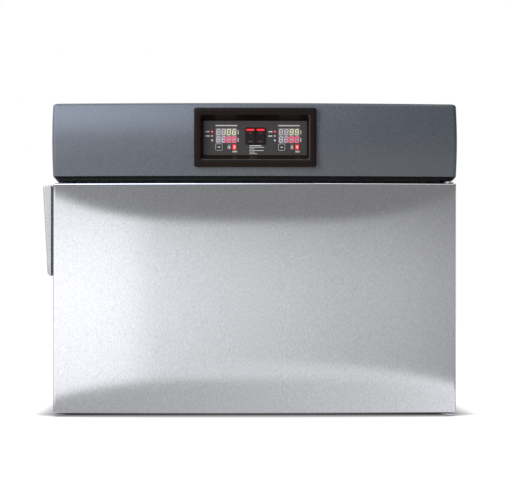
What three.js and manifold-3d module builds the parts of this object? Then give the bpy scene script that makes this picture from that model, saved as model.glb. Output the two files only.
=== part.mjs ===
// Countertop blanket warming cabinet: one bow-fronted door below a crowned control head.
//
// Millimetres, +Z up, the front faces -Y and the door is hinged on the right.
// Pieces are drawn in the cabinet's own frame: x from its middle, y from its face frame and
// z from the table. The finished whole is moved so that the origin is the middle of its footprint.

import * as THREE from "three";
import { mergeVertices } from "three/addons/utils/BufferGeometryUtils.js";
import Module from "manifold-3d";

const wasm = await Module();
wasm.setup();

// Clearances
const SEAT = 0.3; // between pieces that rest on each other
const RUN = 0.25; // round a piece that turns or slides
const THROUGH = 1; // how far a cutting body runs past the wall it opens

// Whole cabinet
const WIDTH = 762; // across the door's ends
const BODY_DEPTH = 560; // face frame to back panel
const FRONT_BOW = 18; // swell of the front from its ends to its middle
const SIDE_STEP = 13; // the case stands this far in from the door's ends
const SHEET = 1.5; // stainless sheet of case, liner and door
const INNER_BEND = 0.5; // inner radius of the case's bends
const FOOT_HEIGHT = 12;
const FOOT_RADIUS = 17;
const FOOT_TAPER = 3;
const FOOT_RECESS_RADIUS = 6;
const FOOT_RECESS_DEPTH = 5;
const FOOT_INSET_X = 42; // from the case's sides
const FOOT_INSET_Y = 55; // from the case's front and back

// Door
const DOOR_HEIGHT = 435;
const DOOR_EDGE = 38; // thickness at the door's ends
const DOOR_FLOOR_GAP = 5.5;
const DOOR_HEAD_GAP = 2;
const DOOR_STANDOFF = 9; // face frame to the door's back
const DOOR_BEND = 3; // radius along the skin's top and bottom edges
const DOOR_CORNER = 4; // radius down the skin's front corners
const PANEL_PRESS = 4; // height of the field pressed into the inner panel
const PANEL_FIELD_MARGIN = 12; // field to the chamber's edge
const PANEL_FIELD_CORNER = 25;
const GASKET_WIDTH = 15;
const GASKET_BASE = 2.5;
const GASKET_LIP = 2; // base showing each side of the bulb
const GASKET_LAND = 3; // gasket to the chamber's edge
const GASKET_CORNER = 12; // radius of the gasket's inner edge

// Pull on the door's free edge
const PULL_HEIGHT = 171;
const PULL_DROP = 4; // top of the pull below the door's top
const PULL_REACH_TOP = 15.5;
const PULL_REACH_BOTTOM = 6.5;
const PULL_DEPTH = 30;
const PULL_SETBACK = 3; // behind the door's front corner
const PULL_NOSE = 3.2; // radius of the rounded outer edge
const PULL_WEB = 9; // thickness left behind the front by the finger scoop
const PULL_TOP_ROUND = 5.5;
const PULL_END_CHAMFER = 4.5;
const PULL_BASE = 3.2; // dark strip between door and pull
const PULL_BASE_MARGIN = 2;
const PULL_BASE_CORNER = 0.8;

// Hinges and latch
const HINGE_INSET = 13; // axis from the door's end
const HINGE_PLAY = 1.2; // door edge to hinge leaf
const HINGE_LEAF = 2.5;
const HINGE_EYE = 10;
const HINGE_BLADE_WIDTH = 13.5;
const HINGE_BLADE_HEIGHT = 62;
const HINGE_BLADE_MARGIN = 1.5; // blade to the case's side
const HINGE_RELIEF = 2; // beside the top hinge, in the head's foot
const PIN_RADIUS = 4;
const PIN_REACH = 18; // into the door
const PIN_HEAD_RADIUS = 6;
const PIN_HEAD = 1;
const BUSH_WALL = 2;
const BUSH_FLANGE_RADIUS = 9;
const BUSH_FLANGE = 0.5;
const LATCH_HEIGHT = 70;
const LATCH_WIDTH = 13;
const LATCH_CORNER = 2;
const STRIKE_SHEET = 1.5;
const MAGNET_GAP = 0.5;

// Chambers
const INSULATION = 30;
const HEATER = 2;
const FRAME_SHEET = 2;
const LINER_COVE = 3; // inner radius of the liner's long edges
const DIVIDER = 24;
const DIVIDER_SETBACK = 6; // behind the face frame
const RACK_SHEET = 1.5;
const RACK_LEDGE = 10;
const RACK_SETBACK = 18;
const SHELF_RISE = 16; // ledge above the chamber's floor
const SHELF_PLAY = 1;
const SHELF_CORNER = 18;
const SHELF_ROD = 3; // radius of the rim
const SHELF_WIRE = 1.6; // radius of the wires
const SHELF_WIRE_LIFT = 2.5; // wires above the rim's middle
const SHELF_BRACE = 2; // radius of the braces
const SHELF_BRACES = 2;
const SHELF_PITCH = 46;
const PROBE_INSET = 117; // from the chamber's right side
const PROBE_RADIUS = 2.5;
const PROBE_LENGTH = 42;
const PROBE_FLANGE_RADIUS = 8;
const PROBE_FLANGE = 2.5;
const LIMIT_X = -120; // from the cabinet's middle
const LIMIT_RADIUS = 9;
const LIMIT_HEIGHT = 12;
const LIMIT_STUD_RADIUS = 5;
const LIMIT_STUD = 6;
const LIMIT_CLEARANCE = 3;
const BACK_PRESS = 3;
const BACK_FIELD_MARGIN = 45;
const BACK_FIELD_CORNER = 30;

// Control head
const HEAD_HEIGHT = 148;
const HEAD_WALL = 3;
const HEAD_PROUD = 2; // in front of the door's line
const HEAD_CHAMFER_RISE = 10.7;
const HEAD_CHAMFER_RUN = 9;
const HEAD_CROWN_FRONT = 6;
const HEAD_CROWN_SIDE = 1.2;
const HEAD_ROUND = 6; // round along the top edges
const HEAD_CORNER = 8; // round down the front corners
const HEAD_BACK_CORNER = 5;
const TRAY_SHEET = 2;
const VENT_COUNT = 9;
const VENT_LENGTH = 60;
const VENT_SLOT = 5;
const VENT_PITCH = 11;
const VENT_INSET = 218; // middle of the row from the case's left side
const INLET_INSET = 138; // middle from the case's right side
const INLET_RISE = 55; // above the tray
const INLET_FLANGE_WIDTH = 50;
const INLET_FLANGE_HEIGHT = 26;
const INLET_FLANGE = 2.5;
const INLET_WIDTH = 28;
const INLET_HEIGHT = 20;
const INLET_DEPTH = 24;
const INLET_WALL = 2;
const INLET_POCKET = 16;
const INLET_CHAMFER = 5;
const INLET_PIN_WIDTH = 4;
const INLET_PIN_THICK = 2;
const INLET_PIN_CORNER = 0.5;
const INLET_PIN_PITCH = 7;
const INLET_PIN_RECESS = 6.5; // pin tips behind the flange's face

// Control panel
const BEZEL_WIDTH = 229.5;
const BEZEL_HEIGHT = 111;
const BEZEL_RISE = 2.9; // middle of the bezel above the middle of the head's face
const BEZEL_PROUD = 3;
const BEZEL_CORNER = 4;
const BEZEL_EDGE = 1.2; // chamfer round the bezel's face
const RECESS_WIDTH = 204; // mouth of the recess
const RECESS_HEIGHT = 83.5;
const RECESS_CORNER = 5;
const RECESS_DEPTH = 15;
const PLATE_VIEW_WIDTH = 194; // plate seen at the bottom of the recess
const PLATE_VIEW_HEIGHT = 64.5;
const PLATE_VIEW_CORNER = 2;
const BEZEL_TUBE_WALL = 2.5;
const PLATE_OVERLAP = 5; // plate behind the recess's end
const PLATE_SHEET = 2;
const ZONE_X = 4.6; // middle between the two controllers
const ZONE_PITCH = 118; // controller to controller
const DISPLAY_WIDTH = 40;
const DISPLAY_HEIGHT = 28.4;
const DISPLAY_RISE = 4.4;
const DISPLAY_CORNER = 1;
const KEY_DROP = 17.4; // keys below the plate's middle
const KEY_PROUD = 1.4;
const KEY_TRAVEL = 0.8;
const KEY_LIP = 0.8;
const KEY_LIP_THICK = 1;
const SET_KEY_X = -13.7; // keys from the middle of their display
const SET_KEY_WIDTH = 13.6;
const SET_KEY_CORNER = 2;
const DOWN_KEY_X = 5.6;
const UP_KEY_X = 15.5;
const ARROW_KEY_WIDTH = 7.6;
const ARROW_KEY_HEIGHT = 10.4;
const DOWN_KEY_CORNER = 3.2;
const UP_KEY_CORNER = 1;
const LAMP_X = -26.4; // lamps from the middle of their display
const LAMP_RISE = 3.6; // middle lamp above the plate's middle
const LAMP_PITCH = 8.2;
const LAMP_RADIUS = 1.6;
const LAMP_PROUD = 0.9;
const MODULE_WIDTH = 47;
const MODULE_TOP = 21; // module above the plate's middle
const MODULE_BOTTOM = 27;
const MODULE_DEPTH = 48;
const MODULE_ARM = 5; // thickness of the arm that carries the lamps
const SWITCH_X = 0.6; // middle of the pair
const SWITCH_RISE = 3.6;
const SWITCH_PITCH = 19.2;
const SWITCH_FLANGE_WIDTH = 18.8;
const SWITCH_FLANGE_HEIGHT = 32;
const SWITCH_FLANGE = 1.5;
const SWITCH_CORNER = 1;
const SWITCH_BODY_WIDTH = 17.8;
const SWITCH_BODY_HEIGHT = 30.8;
const SWITCH_DEPTH = 26;
const SWITCH_POCKET = 9;
const ROCKER_WIDTH = 15.4;
const ROCKER_RADIUS = 14.6; // of the rocker's ends about its pivot
const ROCKER_FRONT = 6.2; // ends in front of the pivot
const ROCKER_DISH = 2.2; // middle below the ends
const ROCKER_BACK = 4.5;
const ROCKER_TILT = 8; // degrees, top out
const PIVOT_BEHIND = 2; // behind the plate's face
const PIVOT_RADIUS = 1.6;
const PIVOT_STUB = 0.6;

// Inside the head
const RELAY_WIDTH = 58;
const RELAY_LENGTH = 45;
const RELAY_BASE = 4;
const RELAY_HEIGHT = 26;
const RELAY_STEP = 9; // terminal step at each end of a relay
const RELAY_X = 60;
const RELAY_Y = 190;
const TERMINAL_COUNT = 6;
const TERMINAL_PITCH = 14;
const TERMINAL_RIB = 3;
const TERMINAL_BASE = 9;
const TERMINAL_HEIGHT = 18;
const TERMINAL_DEPTH = 26;
const TERMINAL_INSET = 61; // from the case's right side
const TERMINAL_SETBACK = 114; // from the case's back

// Facets
const BOW_STEPS = 20;
const CROWN_STEPS = 6;
const CORNER_STEPS = 3;
const ROUND_SIDES = 18;
const SMALL_SIDES = 10;
const WIRE_SIDES = 6;

// Levels and lines worked out from the sizes above
const half = WIDTH / 2;
const caseHalf = half - SIDE_STEP;
const caseBottom = FOOT_HEIGHT;
const doorBottom = DOOR_FLOOR_GAP;
const doorTop = doorBottom + DOOR_HEIGHT;
const headBottom = doorTop + DOOR_HEAD_GAP;
const headTop = headBottom + HEAD_HEIGHT;
const caseTop = headBottom - SEAT;
const doorBack = -DOOR_STANDOFF;
const doorFront = doorBack - DOOR_EDGE;
const bowRadius = (half * half + FRONT_BOW * FRONT_BOW) / (2 * FRONT_BOW);
const doorCentre = doorFront - FRONT_BOW + bowRadius;
const headCentre = doorCentre - HEAD_PROUD;
const hingeX = half - HINGE_INSET;
const hingeY = doorBack - DOOR_EDGE / 2;

const linerFront = FRAME_SHEET + SEAT;
const linerHalf = caseHalf - SHEET - INSULATION - HEATER - 3 * SEAT;
const linerBottom = caseBottom + SHEET + INSULATION + 2 * SEAT;
const linerTop = caseTop - SHEET - INSULATION - 2 * SEAT;
const linerBack = BODY_DEPTH - SHEET - INSULATION - HEATER - 3 * SEAT;
const chamberHalf = linerHalf - SHEET;
const chamberBottom = linerBottom + SHEET;
const chamberTop = linerTop - SHEET;
const chamberBack = linerBack - SHEET;
const dividerMiddle = (chamberBottom + chamberTop) / 2;
const dividerBottom = dividerMiddle - DIVIDER / 2;
const dividerTop = dividerMiddle + DIVIDER / 2;
const rackFace = chamberHalf - SEAT - RACK_SHEET;
const probeX = chamberHalf - PROBE_INSET;

const faceTop = headTop - HEAD_ROUND;
const chamferTop = headBottom + HEAD_CHAMFER_RISE;
const bezelZ = (chamferTop + headTop) / 2 + BEZEL_RISE;
const bezelFront = headCentre - bowRadius - HEAD_CROWN_FRONT - BEZEL_PROUD;
const plateFront = bezelFront + RECESS_DEPTH + SEAT;
const ventX = -caseHalf + VENT_INSET;
const inletX = caseHalf - INLET_INSET;

// Finishes

function finish(color, roughness, metalness) {
  return () => new THREE.MeshStandardMaterial({ color, roughness, metalness });
}

const stainless = finish(0xc9ccce, 0.35, 1);
const galvanised = finish(0xaeb3b6, 0.5, 1);
const chromed = finish(0xdadddf, 0.15, 1);
const charcoal = finish(0x5d6063, 0.5, 0);
const blackPlastic = finish(0x2a2928, 0.6, 0);
const platePaint = finish(0x383430, 0.5, 0);
const lensGrey = finish(0xaaa5a9, 0.25, 0);
const keyGrey = finish(0x3c3a39, 0.5, 0);
const keyRed = finish(0xb8323c, 0.45, 0);
const satinCast = finish(0xbdbdbb, 0.5, 0.6);
const rubber = finish(0x1d1d1d, 0.9, 0);
const greySilicone = finish(0x4a4a4a, 0.8, 0);
const mineralWool = finish(0xd8cfae, 1, 0);
const heaterMat = finish(0xb0673a, 0.8, 0);
const nylon = finish(0xe6e3da, 0.5, 0);
const relayGrey = finish(0x8d9092, 0.6, 0);

// Outlines, counter-clockwise lists of Vector2

function arc(x, y, radius, from, to, steps) {
  const points = [];
  for (let i = 0; i <= steps; i += 1) {
    const turn = from + ((to - from) * i) / steps;
    points.push(new THREE.Vector2(x + radius * Math.cos(turn), y + radius * Math.sin(turn)));
  }
  return points;
}

function circle(x, y, radius, sides) {
  return arc(x, y, radius, 0, 2 * Math.PI * (1 - 1 / sides), sides - 1);
}

function roundRect(x0, x1, y0, y1, radius) {
  const quarter = Math.PI / 2;
  const corners = [
    [x1 - radius, y0 + radius],
    [x1 - radius, y1 - radius],
    [x0 + radius, y1 - radius],
    [x0 + radius, y0 + radius],
  ];
  return corners.flatMap(([x, y], i) =>
    arc(x, y, radius, (i - 1) * quarter, i * quarter, CORNER_STEPS),
  );
}

function centredRect(x, y, width, height, radius) {
  return roundRect(x - width / 2, x + width / 2, y - height / 2, y + height / 2, radius);
}

// Plan of the bowed front with straight sides and back. The front is an arc about the point
// (0, centre), drawn in by `front`; the sides are drawn in by `side`; fillets join them.
function bowPlan({ centre, side, front, corner, back, backCorner = 0 }) {
  const radius = bowRadius - front;
  const reach = half - side;
  const filletX = reach - corner;
  const filletY = centre - Math.sqrt((radius - corner) ** 2 - filletX ** 2);
  const swing = Math.atan2(filletX, centre - filletY);
  const down = -Math.PI / 2;
  const bow = arc(0, centre, radius, down - swing, down + swing, BOW_STEPS);
  const fillet = arc(filletX, filletY, corner, down + swing, 0, CORNER_STEPS).slice(1);
  const rear = backCorner
    ? arc(reach - backCorner, back - backCorner, backCorner, 0, Math.PI / 2, CORNER_STEPS)
    : [new THREE.Vector2(reach, back)];
  const right = [...fillet, ...rear];
  const left = right.map((p) => new THREE.Vector2(-p.x, p.y)).reverse();
  return [...bow, ...right, ...left];
}

// Solids

function solid(geometry) {
  const bare = new THREE.BufferGeometry();
  bare.setAttribute("position", geometry.getAttribute("position"));
  bare.setIndex(geometry.index);
  const merged = mergeVertices(bare, 1e-4);
  const corners = merged.index.array;
  const kept = [];
  for (let i = 0; i < corners.length; i += 3) {
    const [a, b, c] = corners.slice(i, i + 3);
    if (a !== b && b !== c && c !== a) kept.push(a, b, c);
  }
  return new wasm.Manifold(
    new wasm.Mesh({
      numProp: 3,
      vertProperties: merged.getAttribute("position").array,
      triVerts: new Uint32Array(kept),
    }),
  );
}

function joined(solids) {
  return solids.reduce((whole, next) => whole.add(next));
}

function extruded(outline, depth, holes) {
  const shape = new THREE.Shape(outline);
  shape.holes = holes.map((hole) => new THREE.Path(hole));
  return new THREE.ExtrudeGeometry(shape, { depth, bevelEnabled: false });
}

// An outline drawn in plan (x, y), standing from z0 to z1.
function upright(outline, z0, z1, holes = []) {
  return solid(extruded(outline, z1 - z0, holes).translate(0, 0, z0));
}

// An outline drawn in elevation (x, z), running from y0 back to y1.
function endwise(outline, y0, y1, holes = []) {
  const turn = new THREE.Matrix4().makeBasis(
    new THREE.Vector3(1, 0, 0),
    new THREE.Vector3(0, 0, 1),
    new THREE.Vector3(0, -1, 0),
  );
  return solid(extruded(outline, y1 - y0, holes).applyMatrix4(turn).translate(0, y1, 0));
}

// An outline drawn from the side (y, z), running from x0 to x1.
function crosswise(outline, x0, x1) {
  const turn = new THREE.Matrix4().makeBasis(
    new THREE.Vector3(0, 1, 0),
    new THREE.Vector3(0, 0, 1),
    new THREE.Vector3(1, 0, 0),
  );
  return solid(extruded(outline, x1 - x0, []).applyMatrix4(turn).translate(x0, 0, 0));
}

function box(x0, x1, y0, y1, z0, z1) {
  const block = new THREE.BoxGeometry(x1 - x0, y1 - y0, z1 - z0);
  return solid(block.translate((x0 + x1) / 2, (y0 + y1) / 2, (z0 + z1) / 2));
}

// A profile of [radius, height] pairs turned about a line along Y through (x, z).
function turnedY(profile, x, z, sides) {
  const points = profile.map(([r, y]) => new THREE.Vector2(r, y));
  return solid(new THREE.LatheGeometry(points, sides).translate(x, 0, z));
}

// The same about a line along Z through (x, y).
function turnedZ(profile, x, y, sides) {
  const points = profile.map(([r, z]) => new THREE.Vector2(r, z));
  return solid(new THREE.LatheGeometry(points, sides).rotateX(Math.PI / 2).translate(x, y, 0));
}

function rodX(x0, x1, y, z, radius, sides) {
  const rod = new THREE.CylinderGeometry(radius, radius, x1 - x0, sides).rotateZ(-Math.PI / 2);
  return solid(rod.translate((x0 + x1) / 2, y, z));
}

function rodY(x, y0, y1, z, radius, sides) {
  const rod = new THREE.CylinderGeometry(radius, radius, y1 - y0, sides);
  return solid(rod.translate(x, (y0 + y1) / 2, z));
}

// Skin over a row of sections with equally many points. A row that closes on itself makes a ring;
// an open one gets flat ends.
function skinned(sections, closed) {
  const count = sections[0].length;
  const positions = sections.flat().flatMap((p) => [p.x, p.y, p.z]);
  const faces = [];
  const spans = closed ? sections.length : sections.length - 1;
  for (let k = 0; k < spans; k += 1) {
    const low = k * count;
    const high = ((k + 1) % sections.length) * count;
    for (let i = 0; i < count; i += 1) {
      const j = (i + 1) % count;
      faces.push(low + i, low + j, high + j, low + i, high + j, high + i);
    }
  }
  if (!closed) {
    const last = (sections.length - 1) * count;
    for (let i = 1; i < count - 1; i += 1) {
      faces.push(0, i + 1, i, last, last + i, last + i + 1);
    }
  }
  const skin = new THREE.BufferGeometry();
  skin.setAttribute("position", new THREE.Float32BufferAttribute(positions, 3));
  skin.setIndex(faces);
  return solid(skin);
}

function level(outline, z) {
  return outline.map((p) => new THREE.Vector3(p.x, p.y, z));
}

function station(outline, y) {
  return outline.map((p) => new THREE.Vector3(p.x, y, p.y));
}

// Sheet panel in the xz plane, its back at y, with a field pressed out backwards.
function pressedPanel({ outline, field, y, sheet, press }) {
  const { x0, x1, z0, z1, corner } = field;
  const shape = (inset) => roundRect(x0 + inset, x1 - inset, z0 + inset, z1 - inset, corner);
  const rise = (shift) =>
    skinned([station(shape(press), y + press - shift), station(shape(0), y - shift)], false);
  const mouth = endwise(shape(0), y - sheet - THROUGH, y - sheet);
  return endwise(outline, y - sheet, y).add(rise(0)).subtract(rise(sheet)).subtract(mouth);
}

// Assembly

const cabinet = new THREE.Group();
const door = new THREE.Group();
const controls = new THREE.Group();
door.position.set(hingeX, hingeY, 0);
controls.position.set(0, plateFront, bezelZ);
cabinet.add(door, controls);

// Adds a solid that was drawn in its group's own frame.
function place(group, name, material, made) {
  const drawn = made.getMesh();
  const indexed = new THREE.BufferGeometry();
  indexed.setAttribute("position", new THREE.BufferAttribute(drawn.vertProperties, 3));
  indexed.setIndex(new THREE.BufferAttribute(drawn.triVerts, 1));
  const geometry = indexed.toNonIndexed();
  geometry.computeVertexNormals();
  const mesh = new THREE.Mesh(geometry, material());
  mesh.name = name;
  group.add(mesh);
  return mesh;
}

// Adds a solid drawn in the cabinet's frame to the door, whose own frame is at the hinge axis.
function hang(name, material, made) {
  const mesh = place(door, name, material, made);
  mesh.position.set(-hingeX, -hingeY, 0);
}

// Case

const caseOutline = roundRect(-caseHalf, caseHalf, caseBottom, caseTop, SHEET + INNER_BEND);
const caseInside = roundRect(
  -caseHalf + SHEET,
  caseHalf - SHEET,
  caseBottom + SHEET,
  caseTop - SHEET,
  INNER_BEND,
);
const chamberOutline = roundRect(-chamberHalf, chamberHalf, chamberBottom, chamberTop, LINER_COVE);
const caseBack = BODY_DEPTH - SHEET;

place(
  cabinet,
  "case_wrap",
  stainless,
  endwise(caseOutline, linerFront, caseBack - SEAT, [caseInside]),
);
place(cabinet, "face_frame", stainless, endwise(caseOutline, 0, FRAME_SHEET, [chamberOutline]));
place(
  cabinet,
  "back_panel",
  stainless,
  pressedPanel({
    outline: caseOutline,
    field: {
      x0: -caseHalf + BACK_FIELD_MARGIN,
      x1: caseHalf - BACK_FIELD_MARGIN,
      z0: caseBottom + BACK_FIELD_MARGIN,
      z1: caseTop - BACK_FIELD_MARGIN,
      corner: BACK_FIELD_CORNER,
    },
    y: BODY_DEPTH,
    sheet: SHEET,
    press: BACK_PRESS,
  }),
);

const footProfile = [
  [0, FOOT_RECESS_DEPTH],
  [FOOT_RECESS_RADIUS, FOOT_RECESS_DEPTH],
  [FOOT_RECESS_RADIUS, 0],
  [FOOT_RADIUS - FOOT_TAPER, 0],
  [FOOT_RADIUS, FOOT_HEIGHT - SEAT],
  [0, FOOT_HEIGHT - SEAT],
];
const footX = caseHalf - FOOT_INSET_X;
for (const [side, x] of [
  ["left", -footX],
  ["right", footX],
]) {
  for (const [end, y] of [
    ["front", FOOT_INSET_Y],
    ["rear", BODY_DEPTH - FOOT_INSET_Y],
  ]) {
    const foot = place(
      cabinet,
      `foot_${end}_${side}`,
      rubber,
      turnedZ(footProfile, 0, 0, ROUND_SIDES),
    );
    foot.position.set(x, y, 0);
  }
}

// Insulation, heaters and liner

const wrapOuterX = caseHalf - SHEET - SEAT;
const wrapInnerX = wrapOuterX - INSULATION;
const rearBatt = linerBack + HEATER + 2 * SEAT;
const wrapBottom = caseBottom + SHEET + SEAT;
const wrapTop = caseTop - SHEET - SEAT;
const chambers = [
  { zone: "upper", floor: dividerTop, ceiling: chamberTop },
  { zone: "lower", floor: chamberBottom, ceiling: dividerBottom },
].map((chamber) => ({ ...chamber, middle: (chamber.floor + chamber.ceiling) / 2 }));

place(
  cabinet,
  "insulation_wrap",
  mineralWool,
  endwise(
    roundRect(-wrapOuterX, wrapOuterX, wrapBottom, wrapTop, INNER_BEND),
    linerFront,
    rearBatt - SEAT,
    [
      roundRect(
        -wrapInnerX,
        wrapInnerX,
        wrapBottom + INSULATION,
        wrapTop - INSULATION,
        INNER_BEND,
      ),
    ],
  ),
);
place(
  cabinet,
  "insulation_rear",
  mineralWool,
  endwise(
    roundRect(-wrapOuterX, wrapOuterX, wrapBottom, wrapTop, INNER_BEND),
    rearBatt,
    caseBack - SEAT,
    chambers.map(({ middle }) =>
      circle(LIMIT_X, middle, LIMIT_RADIUS + LIMIT_CLEARANCE, ROUND_SIDES),
    ),
  ),
);

const linerOutline = roundRect(
  -linerHalf,
  linerHalf,
  linerBottom,
  linerTop,
  LINER_COVE + SHEET,
);
place(
  cabinet,
  "chamber_liner",
  stainless,
  endwise(linerOutline, linerFront, linerBack).subtract(
    endwise(chamberOutline, linerFront - THROUGH, chamberBack),
  ),
);

const matInner = linerHalf + SEAT;
const matOuter = matInner + HEATER;
const matPlan = [
  [-matOuter, linerFront],
  [-matInner, linerFront],
  [-matInner, linerBack + SEAT],
  [matInner, linerBack + SEAT],
  [matInner, linerFront],
  [matOuter, linerFront],
  [matOuter, linerBack + SEAT + HEATER],
  [-matOuter, linerBack + SEAT + HEATER],
].map(([x, y]) => new THREE.Vector2(x, y));

const probeSeat = chamberBack - SEAT;
const probeTip = arc(0, 0, PROBE_RADIUS, -Math.PI / 2, 0, CORNER_STEPS).map((p) => [
  p.x,
  probeSeat - PROBE_LENGTH + PROBE_RADIUS + p.y,
]);
const probeProfile = [
  ...probeTip,
  [PROBE_RADIUS, probeSeat - PROBE_FLANGE],
  [PROBE_FLANGE_RADIUS, probeSeat - PROBE_FLANGE],
  [PROBE_FLANGE_RADIUS, probeSeat],
  [0, probeSeat],
];
const limitSeat = linerBack + SEAT;
const limitProfile = [
  [0, limitSeat],
  [LIMIT_RADIUS, limitSeat],
  [LIMIT_RADIUS, limitSeat + LIMIT_HEIGHT],
  [LIMIT_STUD_RADIUS, limitSeat + LIMIT_HEIGHT],
  [LIMIT_STUD_RADIUS, limitSeat + LIMIT_HEIGHT + LIMIT_STUD],
  [0, limitSeat + LIMIT_HEIGHT + LIMIT_STUD],
];

for (const { zone, floor, ceiling, middle } of chambers) {
  const opening = endwise(
    circle(LIMIT_X, middle, LIMIT_RADIUS + LIMIT_CLEARANCE, ROUND_SIDES),
    linerBack,
    linerBack + SEAT + HEATER + THROUGH,
  );
  place(
    cabinet,
    `heater_mat_${zone}`,
    heaterMat,
    upright(matPlan, floor + LINER_COVE, ceiling - LINER_COVE).subtract(opening),
  );
  place(
    cabinet,
    `air_probe_${zone}`,
    chromed,
    turnedY(probeProfile, probeX, middle, SMALL_SIDES),
  );
  place(
    cabinet,
    `limit_thermostat_${zone}`,
    galvanised,
    turnedY(limitProfile, LIMIT_X, middle, SMALL_SIDES),
  );
}

// Side racks, divider and shelves

const shelfLedges = chambers.map(({ floor }) => floor + SHELF_RISE);
const ledgeTops = [...shelfLedges, dividerBottom - SEAT].sort((a, b) => b - a);
const rackTop = chamberTop - LINER_COVE;
const rackBottom = chamberBottom + LINER_COVE;
const rackBack = chamberBack - SEAT;

// Comb-shaped section: a strip on the liner's wall with a ledge bent in at each height.
function rackOutline(side) {
  const wall = chamberHalf - SEAT;
  const tip = rackFace - RACK_LEDGE;
  const steps = ledgeTops.flatMap((top) => [
    [rackFace, top],
    [tip, top],
    [tip, top - RACK_SHEET],
    [rackFace, top - RACK_SHEET],
  ]);
  const points = [
    [wall, rackBottom],
    [wall, rackTop],
    [rackFace, rackTop],
    ...steps,
    [rackFace, rackBottom],
  ];
  const outline = points.map(([x, z]) => new THREE.Vector2(side * x, z));
  return side > 0 ? outline : outline.reverse();
}

for (const [name, side] of [
  ["side_rack_left", -1],
  ["side_rack_right", 1],
]) {
  place(
    cabinet,
    name,
    stainless,
    endwise(rackOutline(side), linerFront + RACK_SETBACK, rackBack),
  );
}

const dividerHalf = rackFace - SEAT;
const dividerBack = chamberBack - SEAT;
const coreInset = SHEET + SEAT;
place(
  cabinet,
  "divider_pan",
  stainless,
  box(-dividerHalf, dividerHalf, DIVIDER_SETBACK, dividerBack, dividerBottom, dividerTop).subtract(
    box(
      -dividerHalf + SHEET,
      dividerHalf - SHEET,
      DIVIDER_SETBACK + SHEET,
      dividerBack - SHEET,
      dividerBottom - THROUGH,
      dividerTop - SHEET,
    ),
  ),
);
place(
  cabinet,
  "divider_core",
  mineralWool,
  box(
    -dividerHalf + coreInset,
    dividerHalf - coreInset,
    DIVIDER_SETBACK + coreInset,
    dividerBack - coreInset,
    dividerBottom + coreInset,
    dividerTop - coreInset,
  ),
);
place(
  cabinet,
  "divider_floor",
  stainless,
  box(
    -dividerHalf + coreInset,
    dividerHalf - coreInset,
    DIVIDER_SETBACK + coreInset,
    dividerBack - coreInset,
    dividerBottom,
    dividerBottom + SHEET,
  ),
);

// Welded wire shelf: a rim of round rod, two braces across it and a row of wires on top.
function wireShelf(ledge) {
  const z = ledge + SEAT + SHELF_ROD;
  const reach = rackFace - SHELF_PLAY;
  const front = linerFront + RACK_SETBACK;
  const back = chamberBack - PROBE_LENGTH - SHELF_ROD;
  const rim = [];
  for (let i = 0; i < 2 * WIRE_SIDES; i += 2) {
    const turn = (Math.PI * i) / WIRE_SIDES;
    const inset = SHELF_ROD * (1 - Math.cos(turn));
    const corner = SHELF_CORNER - inset;
    const outline = roundRect(-reach + inset, reach - inset, front + inset, back - inset, corner);
    rim.push(level(outline, z + SHELF_ROD * Math.sin(turn)));
  }
  const span = 2 * (reach - SHELF_CORNER);
  const gaps = Math.round(span / SHELF_PITCH);
  const wires = [];
  for (let i = 0; i <= gaps; i += 1) {
    const x = -span / 2 + (span * i) / gaps;
    const wire = [x, front + SHELF_ROD, back - SHELF_ROD, z + SHELF_WIRE_LIFT];
    wires.push(rodY(...wire, SHELF_WIRE, WIRE_SIDES));
  }
  const braces = [];
  for (let i = 1; i <= SHELF_BRACES; i += 1) {
    const y = front + ((back - front) * i) / (SHELF_BRACES + 1);
    braces.push(rodX(-reach + SHELF_ROD, reach - SHELF_ROD, y, z, SHELF_BRACE, WIRE_SIDES));
  }
  return joined([skinned(rim, true), ...braces, ...wires]);
}

chambers.forEach(({ zone }, i) => {
  place(cabinet, `wire_shelf_${zone}`, chromed, wireShelf(shelfLedges[i]));
});

// Hinge leaves and pins on the case, bushes in the door

const bladeRight = caseHalf - HINGE_BLADE_MARGIN;
const bladeLeft = bladeRight - HINGE_BLADE_WIDTH;
const leafPlan = [
  new THREE.Vector2(bladeLeft, -SEAT),
  ...arc(hingeX, hingeY, HINGE_EYE, Math.PI, 2 * Math.PI, SMALL_SIDES),
  new THREE.Vector2(bladeRight, -SEAT),
];
const boreRadius = PIN_RADIUS + RUN;

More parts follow.
